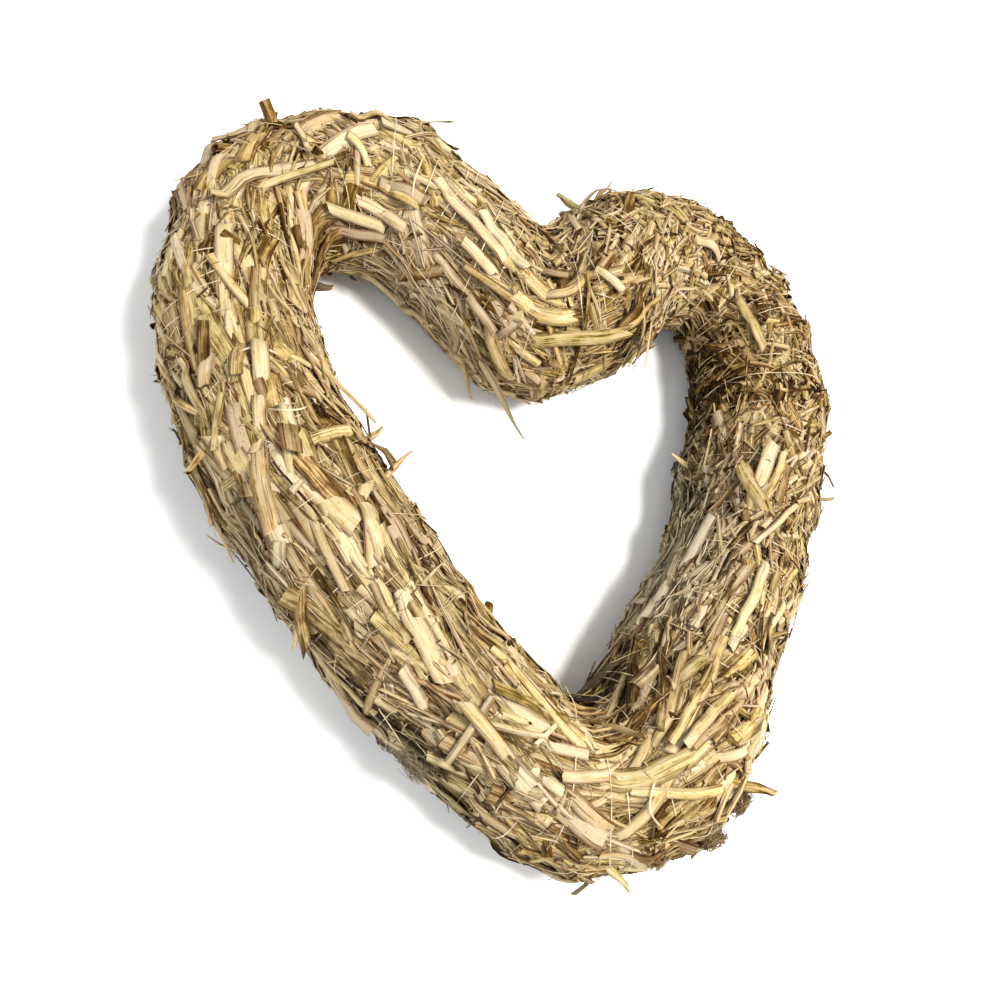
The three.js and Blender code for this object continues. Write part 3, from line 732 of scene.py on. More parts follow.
def place_on_skin(skin, along, around):
    """One place's point and its axes: along the run, out of the skin, and across between them."""
    along, around = np.array([float(along)]), np.array([float(around)])
    point = skin.sample(skin.point, along, around)[0]
    normal = unit(skin.sample(skin.normal, along, around)[0])
    run = skin.sample(skin.run_way, along, around)[0]
    run = unit(run - normal * (run @ normal))
    return point, run, normal, np.cross(normal, run)


def straw_axes(skin, along, around, heading, rise):
    """The point where a loose straw leaves the skin, its forward direction, its side and its upper face."""
    point, run, normal, across = place_on_skin(skin, along, around)
    turn, lift = math.radians(heading), math.radians(rise)
    forward = (run * math.cos(turn) + across * math.sin(turn)) * math.cos(lift) + normal * math.sin(lift)
    side = unit(np.cross(forward, normal))
    return point, forward, side, np.cross(side, forward)


# Materials

def feed(tree, node, inputs):
    """Feeds a node's inputs, by name or number, each from a socket or with a plain value."""
    for name, value in inputs.items():
        if isinstance(value, bpy.types.NodeSocket):
            tree.links.new(value, node.inputs[name])
        else:
            node.inputs[name].default_value = value


def add_node(tree, kind, inputs, **settings):
    """A shader node with its settings, which come first, and its inputs."""
    node = tree.nodes.new("ShaderNode" + kind)
    for name, value in settings.items():
        setattr(node, name, value)
    feed(tree, node, inputs)
    return node


def maths(tree, operation, first, second, clamp=False):
    """The result of a Math node."""
    return add_node(tree, "Math", {0: first, 1: second}, operation=operation, use_clamp=clamp).outputs[0]


def mapped(tree, value, low, high, to_low, to_high):
    """A value carried from low and high to to_low and to_high, and held between them."""
    ends = {"Value": value, "From Min": low, "From Max": high, "To Min": to_low, "To Max": to_high}
    return add_node(tree, "MapRange", ends).outputs[0]


def mixed(tree, share, first, second, blend="MIX"):
    """Two colours mixed or multiplied by a share of the second."""
    inputs = {0: share, 6: first, 7: second}
    return add_node(tree, "Mix", inputs, data_type="RGBA", blend_type=blend).outputs[2]


def noise(tree, vector, scale, detail, roughness):
    """Smooth noise at a vector, from 0 to 1."""
    inputs = {"Vector": vector, "Scale": scale, "Detail": detail, "Roughness": roughness}
    return add_node(tree, "TexNoise", inputs).outputs[0]


def new_group(name, inputs, outputs):
    """An empty node group with its named inputs, as values or vectors, its outputs, and its two end nodes."""
    group = bpy.data.node_groups.new(name, "ShaderNodeTree")
    for socket, value in inputs.items():
        kind = "NodeSocketVector" if isinstance(value, tuple) else "NodeSocketFloat"
        group.interface.new_socket(name=socket, in_out="INPUT", socket_type=kind).default_value = value
    for socket, kind in outputs.items():
        group.interface.new_socket(name=socket, in_out="OUTPUT", socket_type=kind)
    return group, group.nodes.new("NodeGroupInput"), group.nodes.new("NodeGroupOutput")


def straw_grain_group():
    """Straw grain: fine lines along the stem, slow change along it, and dark specks and cracks. Each is a
    noise on the chart, which is multiplied by more across the straw than along it, so that the noise runs
    along."""
    masks = dict.fromkeys(("Streaks", "Mottle", "Specks", "Relief"), "NodeSocketFloat")
    group, entry, leave = new_group("Straw grain", {"Chart": (0, 0, 0)}, masks)

    def grain(across, along, detail, roughness):
        inputs = {0: entry.outputs["Chart"], 1: (across, along, 1)}
        stretched = add_node(group, "VectorMath", inputs, operation="MULTIPLY").outputs[0]
        return noise(group, stretched, 1, detail, roughness)

    fine = grain(24, 0.8, 4, 0.65)
    broad = grain(8, 0.5, 2, 0.5)
    mottle = grain(5, 2.2, 3, 0.6)
    specks = mapped(group, grain(26, 9, 2, 0.5), 0.64, 0.72, 0, 1)
    cracks = mapped(group, grain(17, 0.45, 2, 0.5), 0.36, 0.43, 1, 0)
    streaks = maths(group, "ADD", maths(group, "MULTIPLY", fine, 0.6), maths(group, "MULTIPLY", broad, 0.4))
    feed(group, leave, {
        "Streaks": maths(group, "SUBTRACT", streaks, 0.5),
        "Mottle": maths(group, "SUBTRACT", mottle, 0.5),
        "Specks": maths(group, "MAXIMUM", specks, maths(group, "MULTIPLY", cracks, 0.7)),
        "Relief": fine})


def straw_colour_group(colours):
    """Straw colour: a tone from 0 to 1 runs from the darkest through brown and golden to pale, greyness takes
    it to duller, darker straw, which is weathered straw and, in some patches, painted shade, hue turns it
    between reddish and greenish, and the third input darkens it with real specks and dirt and with painted
    shade along the straws' sides."""
    group, entry, leave = new_group(
        "Straw colour", {"Tone": 0.5, "Greyness": 0.0, "Dirt and shade": 0.0, "Hue": 0.5}, {"Color": "NodeSocketColor"})
    colour = colours["deep"]
    for low, high, following in ((0, 0.28, "brown"), (0.28, 0.55, "golden"), (0.55, 0.95, "pale")):
        share = mapped(group, entry.outputs["Tone"], low, high, 0, 1)
        colour = mixed(group, share, colour, colours[following])
    dull = add_node(group, "HueSaturation", {"Saturation": 0.5, "Value": 0.82, "Color": colour})
    colour = mixed(group, entry.outputs["Greyness"], colour, dull.outputs[0])
    hue = mapped(group, entry.outputs["Hue"], 0, 1, 0.4935, 0.523)
    turned = add_node(group, "HueSaturation", {"Hue": hue, "Color": colour})
    colour = mixed(group, entry.outputs["Dirt and shade"], turned.outputs[0], colours["dirt_and_shade"], "MULTIPLY")
    feed(group, leave, {"Color": colour})


def new_material(name):
    """A material with its node tree and its shader."""
    material = bpy.data.materials.new(name)
    material.use_nodes = True
    return material, material.node_tree, material.node_tree.nodes["Principled BSDF"]


def straw_material(name, streaks=1.9, mottle=0.9, specks=0.7, roughness=(0.45, 0.7), relief=0.8):
    """A straw finish: tint from the piece's own attribute, grain from its chart, a satin coat of wax as
    roughness that follows the grain, and fine ribs as bump."""
    material, tree, shader = new_material(name)
    groups = bpy.data.node_groups
    chart = add_node(tree, "UVMap", {}, uv_map="straw").outputs[0]
    grain = add_node(tree, "Group", {"Chart": chart}, node_tree=groups["Straw grain"]).outputs
    tint = add_node(tree, "Attribute", {}, attribute_name="tint").outputs
    tone, grey, dirt_and_shade = add_node(tree, "SeparateColor", {0: tint["Color"]}).outputs
    tone = maths(tree, "ADD", tone, maths(tree, "MULTIPLY", grain["Streaks"], streaks))
    tone = maths(tree, "ADD", tone, maths(tree, "MULTIPLY", grain["Mottle"], mottle))
    # Specks, dirt and the painted shade along the straws' sides darken the straw together.
    specks_dirt_and_shade = maths(tree, "ADD", maths(tree, "MULTIPLY", grain["Specks"], specks), dirt_and_shade, clamp=True)
    colour_inputs = {"Tone": tone, "Greyness": grey, "Dirt and shade": specks_dirt_and_shade, "Hue": tint["Alpha"]}
    colour = add_node(tree, "Group", colour_inputs, node_tree=groups["Straw colour"])
    bump = add_node(tree, "Bump", {"Strength": relief, "Distance": 0.0003, "Height": grain["Relief"]})
    feed(tree, shader, {
        "Base Color": colour.outputs[0],
        "Roughness": mapped(tree, grain["Relief"], 0.3, 0.7, *roughness),
        "Normal": bump.outputs[0],
        "Specular IOR Level": 0.05,
        "Specular Tint": (1, 0.85, 0.6, 1)})
    return material


def thread_material(colour, roughness):
    """Clear nylon: mostly see-through, with a sharp gloss and a faint cloudiness along it."""
    material, tree, shader = new_material("clear_thread")
    cloud = noise(tree, add_node(tree, "TexCoord", {}).outputs["Object"], 90, 2, 0.6)
    clouded = mapped(tree, cloud, 0.3, 0.7, 0, 1)
    feed(tree, shader, {
        "Base Color": mixed(tree, clouded, (*(0.85 * part for part in colour), 1), (*colour, 1)),
        "Roughness": mapped(tree, cloud, 0.3, 0.7, roughness, roughness + 0.1),
        "Alpha": mapped(tree, cloud, 0.42, 0.62, 0.06, 0.55),
        "IOR": 1.53,
        "Coat Weight": 0.6,
        "Coat Roughness": 0.08})
    return material


def dress(piece, material, slot, *nodes):
    """Gives a piece its material and its place on the one body, and hides the frame's nodes that it replaces."""
    piece.data.materials.append(material)
    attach(piece, "root")
    if nodes:
        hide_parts(*nodes)


# Settings

def setting(name, description, default, **more):
    """A plain number."""
    return bpy.props.FloatProperty(name=name, description=description, default=default, **more)


def length_setting(name, description, millimetres):
    """A length, which Blender keeps in metres."""
    return setting(name, description, millimetres * MM, unit="LENGTH")


def angle_setting(name, description, degrees):
    """An angle, which Blender keeps in radians."""
    return setting(name, description, math.radians(degrees), subtype="ANGLE")


def count_setting(name, description, count, least=0):
    """A whole number."""
    return bpy.props.IntProperty(name=name, description=description, default=count, min=least)


def colour_setting(name, description, colour):
    """A colour without its alpha."""
    return bpy.props.FloatVectorProperty(name=name, description=description, default=colour, subtype="COLOR")


class StrawSettings(bpy.types.PropertyGroup):
    """Sizes, numbers and colours of the straw."""
    straw_width: length_setting("Straw width", "Width of a whole straw, pressed flat", 5.2)
    straw_thickness: length_setting("Straw thickness", "Thickness of a pressed straw", 0.6)
    longest: length_setting("Longest straw", "Length of the longest whole straws", 52)
    whole_count: count_setting("Whole straws", "Number of whole pressed straws", 1900)
    split_count: count_setting("Split straws", "Number of straws split lengthwise", 2300)
    under_count: count_setting("Under layer", "Number of straws in the layer below", 1500)
    chopped_count: count_setting("Chopped straw", "Number of short chopped pieces", 6200)
    sliver_count: count_setting("Slivers", "Number of narrow slivers", 6800)
    strand_count: count_setting("Strands", "Number of long thin strands", 3900)
    fibre_count: count_setting("Fibres", "Number of loose fibres", 3600)
    bound_count: count_setting("Bound fibres", "Number of fibres caught under the thread", 900)
    pale: colour_setting("Pale", "Colour of fresh straw's outer face", (0.462, 0.370, 0.247))
    golden: colour_setting("Golden", "Colour of most straw", (0.395, 0.272, 0.112))
    brown: colour_setting("Brown", "Colour of old straw", (0.12, 0.06, 0.010))
    # Deep also colours the near-black packed straw, which is painted shade; the colour below darkens real
    # specks and dirt and the painted shade along the straws' sides.
    deep: colour_setting("Deep", "Colour of the darkest stems", (0.022, 0.008, 0.001))
    dirt_and_shade: colour_setting("Dirt and shade", "Colour that dirt is multiplied by", (0.17, 0.080, 0.022))


class ThreadSettings(bpy.types.PropertyGroup):
    """Size, winding and colour of the thread."""
    turns: count_setting("Turns", "Number of turns round the bundle", 62, least=1)
    diameter: length_setting("Diameter", "Diameter of the thread", 0.34)
    colour: colour_setting("Colour", "Colour of the thread", (0.78, 0.66, 0.44))
    roughness: setting("Roughness", "Roughness of the thread", 0.15, subtype="FACTOR", min=0, max=1)


class StageSettings(bpy.types.PropertyGroup):
    """Floor, lights and camera."""
    floor_colour: colour_setting("Floor", "Colour of the floor", (0.88, 0.91, 0.96))
    key_power: setting("Key light", "Power of the warm main light", 18.8, unit="POWER")
    fill_power: setting("Fill light", "Power of the cool fill light", 5, unit="POWER")
    sky: setting("Sky", "Strength of the even light from all round", 0.62, min=0)
    azimuth: angle_setting("Azimuth", "Camera's turn round the heart", -43.3)
    elevation: angle_setting("Elevation", "Camera's height over the horizon", 57.2)
    roll: angle_setting("Roll", "Camera's turn about its own line", -44.5)
    distance: length_setting("Distance", "Camera's distance from its target", 282)
    lens: setting("Lens", "Focal length on a 36 mm sensor", 31.536, unit="CAMERA")


STATE = {}


def skin_of(context):
    """The skin, worked out once."""
    if "skin" not in STATE:
        STATE["skin"] = Skin(context.scene.straw_heart_thread.turns)
    return STATE["skin"]


def straw_finish(context, finish, **values):
    """A straw material, with the two shared groups built on the first call."""
    straw = context.scene.straw_heart
    if "Straw grain" not in bpy.data.node_groups:
        straw_grain_group()
        names = ("pale", "golden", "brown", "deep", "dirt_and_shade")
        straw_colour_group({name: (*getattr(straw, name), 1) for name in names})
    return straw_material(finish, **values)


# Operators

class STRAWHEART_OT_core(bpy.types.Operator):
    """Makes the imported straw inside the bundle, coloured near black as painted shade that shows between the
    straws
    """
    bl_idname = "straw_heart.core"
    bl_label = "Packed straw"

    def execute(self, context):
        skin = skin_of(context)
        inset, lowest = 3.7, 1.5
        rows, columns = skin.rows // 3, 36
        along = np.arange(rows)[:, None] / rows * skin.run + np.zeros(columns)
        around = np.arange(columns) / columns * 360 + np.zeros((rows, 1))
        lumps = ripples(np.random.default_rng(8), 14, (60, 130), (4, 12))
        depth = inset + 0.5 * rippled(lumps, along, around, skin.run)
        inwards = -skin.sample(skin.direction, along, around)
        point = skin.sample(skin.point, along, around) + inwards * depth[..., None]
        point[..., 2] = np.maximum(point[..., 2], lowest)
        corner = np.arange(rows * columns).reshape(rows, columns)
        next_row = np.roll(corner, -1, 0)
        quads = np.stack([corner, np.roll(corner, -1, 1), np.roll(next_row, -1, 1), next_row], -1)
        # Tone 0.04 and dirt 0.2 make it near black: painted shade in the gaps between the straws.
        tint = np.zeros((rows * columns, 3)) + (0.04, 0, 0.2)
        chart = np.stack([around * 0.42, along], -1).reshape(-1, 2) / 10
        quads = quads.reshape(-1, 4)
        triangles = np.zeros((0, 3), int)
        piece = mesh_object("shaded_packed_straw", point.reshape(-1, 3), quads, triangles, tint, chart, 180)
        finish = straw_finish(context, "shaded_packed_straw", roughness=(0.7, 0.9), relief=1.0)
        dress(piece, finish, "straw", "straw_bundle")
        return {"FINISHED"}


class StrawLayer:
    """What the operators of the layers share. Each names its piece, its material and the setting that
    counts its straws, and gives straw_layer's values from a straw's width, its thickness and the longest
    one's length."""
    grain = {}

    def execute(self, context):
        straw = context.scene.straw_heart
        sizes = straw.straw_width / MM, straw.straw_thickness / MM, straw.longest / MM
        count = getattr(straw, self.counted)
        piece = straw_layer(self.piece, skin_of(context), count=count, **self.layer(*sizes))
        dress(piece, straw_finish(context, self.finish, **self.grain), "straw", "straw_bundle")
        return {"FINISHED"}


class STRAWHEART_OT_under_layer(StrawLayer, bpy.types.Operator):
    """Lays the darker straws that fill the gaps below the outer ones; their darkness is painted shade"""
    bl_idname = "straw_heart.under_layer"
    bl_label = "Under layer"
    piece, finish, counted = "under_straws", "under_straw", "under_count"
    grain = {"mottle": 0.5}

    def layer(self, width, thick, longest):
        # The low tone and the heavier dirt keep this layer dark: painted shade below the outer straws.
        return dict(
            seed=21, section=ROOF, rings=5, length=(18, 42), width=(0.5 * width, width), thick=(0.5, 0.8),
            camber=0.4, height=(-3.2, -1.7), stiffness=(0, 0.4), heading_share=1.2, lift=(0, 0.4),
            point=(0, 0.1), tone=0.14, tone_spread=0.12, grey=0.15, dirt_and_shade=0.8, underside=0.5)


class STRAWHEART_OT_whole_straws(StrawLayer, bpy.types.Operator):
    """Lays the whole pressed straws, longest along the left arm"""
    bl_idname = "straw_heart.whole_straws"
    bl_label = "Whole straws"
    piece, finish, counted = "whole_straws", "whole_straw", "whole_count"

    def layer(self, width, thick, longest):
        return dict(
            seed=22, section=HOUSE, rings=9, length=(18, longest), width=(0.35 * width, 1.25 * width),
            thick=(0.8 * thick, 1.4 * thick), camber=0.45, height=(-2.0, -0.3), stiffness=(0.2, 0.7),
            curl=6, lift=(-1.8, 0.4), point=(0, 0.12), slant=0.35, ragged=0.35, share_column=2, unruly=0.04,
            tone=0.62, tone_spread=0.15, bent=0.01, coarse_height=1.3)


class STRAWHEART_OT_split_straws(StrawLayer, bpy.types.Operator):
    """Lays the straws that have split lengthwise into flat strips"""
    bl_idname = "straw_heart.split_straws"
    bl_label = "Split straws"
    piece, finish, counted = "split_straws", "split_straw", "split_count"

    def layer(self, width, thick, longest):
        return dict(
            seed=23, section=ROOF, rings=8, length=(16, 46), width=(0.2 * width, 0.5 * width),
            thick=(0.3, 0.6), camber=0.45, height=(-1.7, 0.1), stiffness=(0.1, 0.6), curl=8,
            lift=(-1.5, 0.6), roll=10, point=(0, 0.5), slant=0.6, tone=0.6, bent=0.02)


class STRAWHEART_OT_chopped_straw(StrawLayer, bpy.types.Operator):
    """Strews the short chopped pieces, most of them on the right side"""
    bl_idname = "straw_heart.chopped_straw"
    bl_label = "Chopped straw"
    piece, finish, counted = "chopped_straw", "chopped_straw", "chopped_count"

    def layer(self, width, thick, longest):
        return dict(
            seed=24, section=ROOF, rings=3, length=(5, 17), width=(0.3 * width, 0.95 * width),
            thick=(0.35, 0.6), camber=0.45, height=(-1.8, 0), stiffness=(0.3, 0.9), heading_share=1.2,
            unruly=0.25, curl=6, lift=(-0.9, 0.5), roll=12, point=(0, 0.1), slant=0.5, share_column=3,
            tone=0.6, tone_spread=0.19)


class STRAWHEART_OT_slivers(StrawLayer, bpy.types.Operator):
    """Strews narrow slivers of straw between the rest"""
    bl_idname = "straw_heart.slivers"
    bl_label = "Slivers"
    piece, finish, counted = "straw_slivers", "straw_sliver", "sliver_count"
    grain = {"streaks": 1}

    def layer(self, width, thick, longest):
        return dict(
            seed=25, section=SPLINTER, rings=4, length=(8, 28), width=(0.4, 1.3), thick=(0.25, 0.5),
            camber=0.3, height=(-1.6, 0.3), stiffness=(0.1, 0.7), heading_share=1.1, unruly=0.2, curl=14,
            lift=(-1, 1), roll=16, point=(0.1, 0.8), share_column=2, crosswise=0.06, tone=0.58,
            tone_spread=0.22)


class STRAWHEART_OT_strands(StrawLayer, bpy.types.Operator):
    """Lays the long thin strands that run with the bundle"""
    bl_idname = "straw_heart.strands"
    bl_label = "Strands"
    piece, finish, counted = "straw_strands", "straw_strand", "strand_count"
    grain = {"streaks": 1}

    def layer(self, width, thick, longest):
        return dict(
            seed=27, section=SPLINTER, rings=6, length=(22, 0.95 * longest), width=(0.5, 1.6),
            thick=(0.3, 0.6), camber=0.2, height=(-1.6, 0.5), stiffness=(0, 0.4), unruly=0.05, curl=8,
            lift=(-1.6, 0.5), roll=10, point=(0, 0.6), share_column=2, tone=0.58, tone_spread=0.22,
            coarse_height=0.6)


class STRAWHEART_OT_bound_fibres(StrawLayer, bpy.types.Operator):
    """Lays fine fibres across the bundle, where they are caught under the thread"""
    bl_idname = "straw_heart.bound_fibres"
    bl_label = "Bound fibres"
    piece, finish, counted = "bound_fibres", "bound_fibre", "bound_count"
    grain = {"streaks": 0.2, "mottle": 0.3}

    def layer(self, width, thick, longest):
        return dict(
            seed=29, section=SPLINTER, rings=6, length=(12, 34), width=(0.15, 0.5), thick=(0.2, 0.3),
            camber=0, height=(0, 1), stiffness=(0, 0.2), heading_share=0.25, unruly=0.2, curl=14,
            lift=(-1.5, 0.4), roll=0, point=(0, 0.8), slant=0, sway=0.4, crosswise=1, coarse_height=0.6,
            tone=0.72, tone_spread=0.15, edge=0, on_thread=True)


class STRAWHEART_OT_fibres(StrawLayer, bpy.types.Operator):
    """Strews the thin frayed fibres that make the outline hairy"""
    bl_idname = "straw_heart.fibres"
    bl_label = "Fibres"
    piece, finish, counted = "straw_fibres", "straw_fibre", "fibre_count"
    grain = {"streaks": 0.2, "mottle": 0.3}

    def layer(self, width, thick, longest):
        return dict(
            seed=26, section=SPLINTER, rings=4, length=(8, 28), width=(0.15, 0.4), thick=(0.2, 0.3),
            camber=0, height=(-0.7, 0.6), stiffness=(0, 0.7), heading_share=1.3, unruly=0.5, curl=50,
            lift=(-0.5, 1.8), roll=0, point=(0.5, 1), slant=0, share_column=2, sway=0.7, crosswise=0.3,
            tone=0.66, tone_spread=0.2, grey=0.2, edge=0)


class STRAWHEART_OT_shown_straws(bpy.types.Operator):
    """Lays the broad straws that catch the eye, and the thin blades that stand off the bundle"""
    bl_idname = "straw_heart.shown_straws"
    bl_label = "Shown straws"

    def execute(self, context):
        finish = straw_finish(context, "shown_straw")
        broad = dict(shown=SHOWN_STRAWS, seed=28, rings=12, thick=(0.5, 0.8), stiffness=(0.5, 0.8), curl=5,
                     lift=(-1.4, 0.2), roll=6, point=(0, 0.15), slant=0.4)
        thin = dict(shown=BLADES, seed=30, rings=10, thick=(0.3, 0.5), stiffness=(0.9, 1), curl=8,
                    lift=(-0.6, 0.8), roll=12, point=(0.4, 0.9), slant=0.8)
        both = dict(section=HOUSE, camber=0.35, ragged=0.4, tone_spread=0.03)
        for name, values in (("shown_straws", broad), ("standing_blades", thin)):
            piece = straw_layer(name, skin_of(context), **both, **values)
            dress(piece, finish, "straw", "straw_bundle")
        return {"FINISHED"}


def loose_table():
    """All loose straws by node: the listed ones, then the far ones by their rule."""
    table = dict(LOOSE_STRAWS)
    far = FAR_STRAWS
    for number in range(far["count"]):
        side, start, middle = far["inner"] if number % 2 else far["outer"]
        spin = (number * GOLDEN_PART) % 1
        table[f"{side}_straw_{number + 1}"] = (
            start + number * far["step"], middle + far["sway"] * math.sin(TURN * spin), 360 * spin,
            far["rise"] * (1 + spin), far["length"] * (1 + spin), 3.5, 0, 0.4)
    return table


def loose_straw(skin, node, number, place, length, width, bow, narrowing, thick):
    """One loose straw: a straight line out of the skin, bowed as the square of the part travelled, with a
    slight wave sideways and a tail that dives into the bundle. It narrows over its outer half."""
    rng = np.random.default_rng(300 + number)
    rings, tail = 14, 5
    parts = np.concatenate([[-1, -0.5], np.linspace(0, 1, rings - 2)])
    start, forward, side, face = straw_axes(skin, *place)
    reach = np.where(parts < 0, parts * tail, parts * length)
    free = np.maximum(parts, 0)
    wave = 0.03 * length * np.sin(TURN * free * 0.8 + rng.random() * TURN) * free
    path = start + forward * reach[:, None] + face * (bow * free ** 2)[:, None] + side * wave[:, None]
    path -= face * (0.12 * np.maximum(-reach, 0) ** 1.5)[:, None]
    taper = 1 - narrowing * np.maximum(2 * free - 1, 0)
    half = 0.44 * width * taper * (1 + 0.06 * np.sin(9 * free + number))
    upward = np.broadcast_to(face, path.shape)
    roll = np.radians(rng.normal(0, 14)) * free
    arch = 0.45 if width < 4 else 0.15
    corners = len(HOUSE)
    points, across = loft(
        path[None], upward[None], half[None], np.full((1, rings), thick), np.full((1, rings), arch), HOUSE,
        roll[None], slant=rng.normal(0, 0.7, (1, 2)), ragged=rng.random((1, 2, corners)) * 0.5 * width)
    tone = np.clip(rng.normal(0.68, 0.1), 0.35, 0.85)
    grey, dirt_and_shade, hue = 0.1 * rng.random(), 0.15 * rng.random(), rng.uniform(0.3, 0.9)
    tint = np.zeros((rings, corners, 4)) + (tone, grey, dirt_and_shade, hue)
    # The sides are darkened, partly as dirt and partly as painted shade where the straw meets others.
    tint[..., 2] += 0.6 * along_edges(HOUSE)
    chart = np.stack([across[0], np.repeat(reach[:, None], corners, 1)], -1) / 10 + rng.random(2) * 40
    return mesh_object(f"fine_{node}", settle(points).reshape(-1, 3), *tube_faces(1, rings, corners),
                       tint.reshape(-1, 4), chart.reshape(-1, 2))


class STRAWHEART_OT_loose_straws(bpy.types.Operator):
    """Makes the loose straws that stand out of the bundle, each in place of its solid"""
    bl_idname = "straw_heart.loose_straws"
    bl_label = "Loose straws"

    def execute(self, context):
        thick = context.scene.straw_heart.straw_thickness / MM
        finish = straw_finish(context, "loose_straw", streaks=2.6, mottle=1.2)
        for number, (node, (*place, length, width, bow, narrowing)) in enumerate(loose_table().items()):
            piece = loose_straw(skin_of(context), node, number, place, length, width, bow, narrowing, thick)
            dress(piece, finish, "loose_straw", node)
        return {"FINISHED"}


def hollow_straws(name, places, outer, bore, rng, skin, facets):
    """Round straws that kept their bore. Each is a profile of radius and height, turned about its own line:
    from the buried end up the outside, over the slanting cut rim, and down the bore to its floor."""
    wall = np.array([0, 1, 1, 1, 0, 0])
    buried, depth = -6, 5
    angle = np.arange(facets) / facets * TURN
    vertices, tints, charts = [], [], []
    for (along, around, heading, rise, length), out, inn in zip(places, outer, bore):
        start, forward, side, face = straw_axes(skin, along, around, heading, rise)
        radius = np.where(wall, out, inn)
        floor = length - min(depth, 0.8 * length)
        height = np.array([buried, buried, 0.5 * length, length, length, floor])
        squash = rng.uniform(0.7, 1.0)
        lean = rng.normal(0, 0.25, 2)
        slanting = out * (lean[0] * np.cos(angle) + lean[1] * np.sin(angle))
        cut = np.where(height >= length * 0.99, 1, 0)[:, None] * slanting
        circle = side * np.cos(angle)[:, None] + face * (squash * np.sin(angle))[:, None]
        vertices.append(start + forward * (height[:, None] + cut)[..., None] + circle * radius[:, None, None])
        # The bore is darker than the wall: painted shade inside it.
        tone = np.where(wall, rng.normal(0.27, 0.08), 0.12)[:, None, None]
        tints.append(np.concatenate([tone, tone * 0 + 0.1, tone * 0 + 0.1], 2) + np.zeros((facets, 3)))
        chart = np.stack(np.broadcast_arrays(angle * out, height[:, None]), -1)
        charts.append(chart / 10 + rng.random(2) * 40)
    quads, ends = tube_faces(len(vertices), len(wall), facets, fan(facets))
    return mesh_object(
        name, settle(np.array(vertices)).reshape(-1, 3), quads[:, [0, 3, 2, 1]], ends[:, ::-1],
        np.clip(np.array(tints), 0, 1).reshape(-1, 3), np.array(charts).reshape(-1, 2))


class STRAWHEART_OT_hollow_stubs(bpy.types.Operator):
    """Makes the round hollow straw ends, the large one on the left lobe and small ones all over"""
    bl_idname = "straw_heart.hollow_stubs"
    bl_label = "Hollow stubs"

    def execute(self, context):
        skin = skin_of(context)
        finish = straw_finish(context, "hollow_straw")
        stub = HOLLOW_STUB
        large = hollow_straws("fine_hollow_straw_stub", [(*stub["place"], stub["length"])], [stub["outer"]],
                              [stub["bore"]], np.random.default_rng(41), skin, 24)
        dress(large, finish, "loose_straw", stub["node"])
        rng = np.random.default_rng(42)
        along, around = scatter(rng, skin, 60, None, 0.1)
        count = len(along)
        places = np.stack([along, around, rng.random(count) * 360, rng.uniform(8, 40, count),
                           rng.uniform(1.5, 5, count)], 1)
        outer = rng.uniform(0.9, 1.8, count)
        small = hollow_straws("small_hollow_stubs", places, outer, outer * 0.7, rng, skin, 10)
        dress(small, finish, "straw", "straw_bundle")
        return {"FINISHED"}


class STRAWHEART_OT_fuzz(bpy.types.Operator):
    """Makes the small balls of grey and brown fuzz that are caught in the straw"""
    bl_idname = "straw_heart.fuzz"
    bl_label = "Caught fuzz"

    def execute(self, context):
        skin = skin_of(context)
        rng = np.random.default_rng(51)
        rings = 12
        parts = np.linspace(0, 1, rings)[None, :, None]
        paths, upwards, tints = [], [], []
        for along, around, size, tone, grey, hairs in FUZZ:
            start, run, normal, across = place_on_skin(skin, along, around)
            phase = rng.random((hairs, 1, 3)) * TURN
            waves = rng.uniform(0.4, 1.3, (hairs, 1, 3))
            spread = size * np.array([1.4, 1.0, 0.8])
            local = spread * np.sin(TURN * waves * parts + phase) * rng.uniform(0.4, 1, (hairs, 1, 3))
            paths.append(start + normal * size * 0.35 + local @ np.stack([run, across, normal]))
            upwards.append(np.broadcast_to(normal, (hairs, rings, 3)))
            tints.append(np.broadcast_to(np.array([tone, grey, 0.1]), (hairs, rings, 3)))
        path, upward, tint = (np.concatenate(part) for part in (paths, upwards, tints))
        half = np.full(path.shape[:2], HAIR / 2)
        corners = len(SPLINTER)
        points, across = loft(path, upward, half, half * 2, half * 0, SPLINTER)
        chart = np.stack(np.broadcast_arrays(across, 2 * parts), -1)
        piece = mesh_object(
            "caught_fuzz", settle(points).reshape(-1, 3), *tube_faces(len(path), rings, corners),
            np.repeat(tint[:, :, None], corners, 2).reshape(-1, 3), chart.reshape(-1, 2))
        dress(piece, straw_finish(context, "caught_fuzz", streaks=0.1, mottle=0.1, relief=0.1), "straw")
        return {"FINISHED"}


def thread_mesh(name, path, normal, radius, facets=5):
    """A round thread along a path: rings of points at the radius, in the plane across the path."""
    path = np.column_stack([path[:, :2], np.maximum(path[:, 2], radius + 0.05)])
    angle = np.arange(facets) / facets * TURN
    forward = unit(np.gradient(path, axis=0))
    side = unit(np.cross(forward, normal))
    up = np.cross(side, forward)
    across, over = np.cos(angle)[::-1, None], np.sin(angle)[::-1, None]
    points = path[:, None] + radius * (side[:, None] * across + up[:, None] * over)
    return mesh_object(name, points.reshape(-1, 3), *tube_faces(1, len(path), facets, fan(facets)), sharp=80)


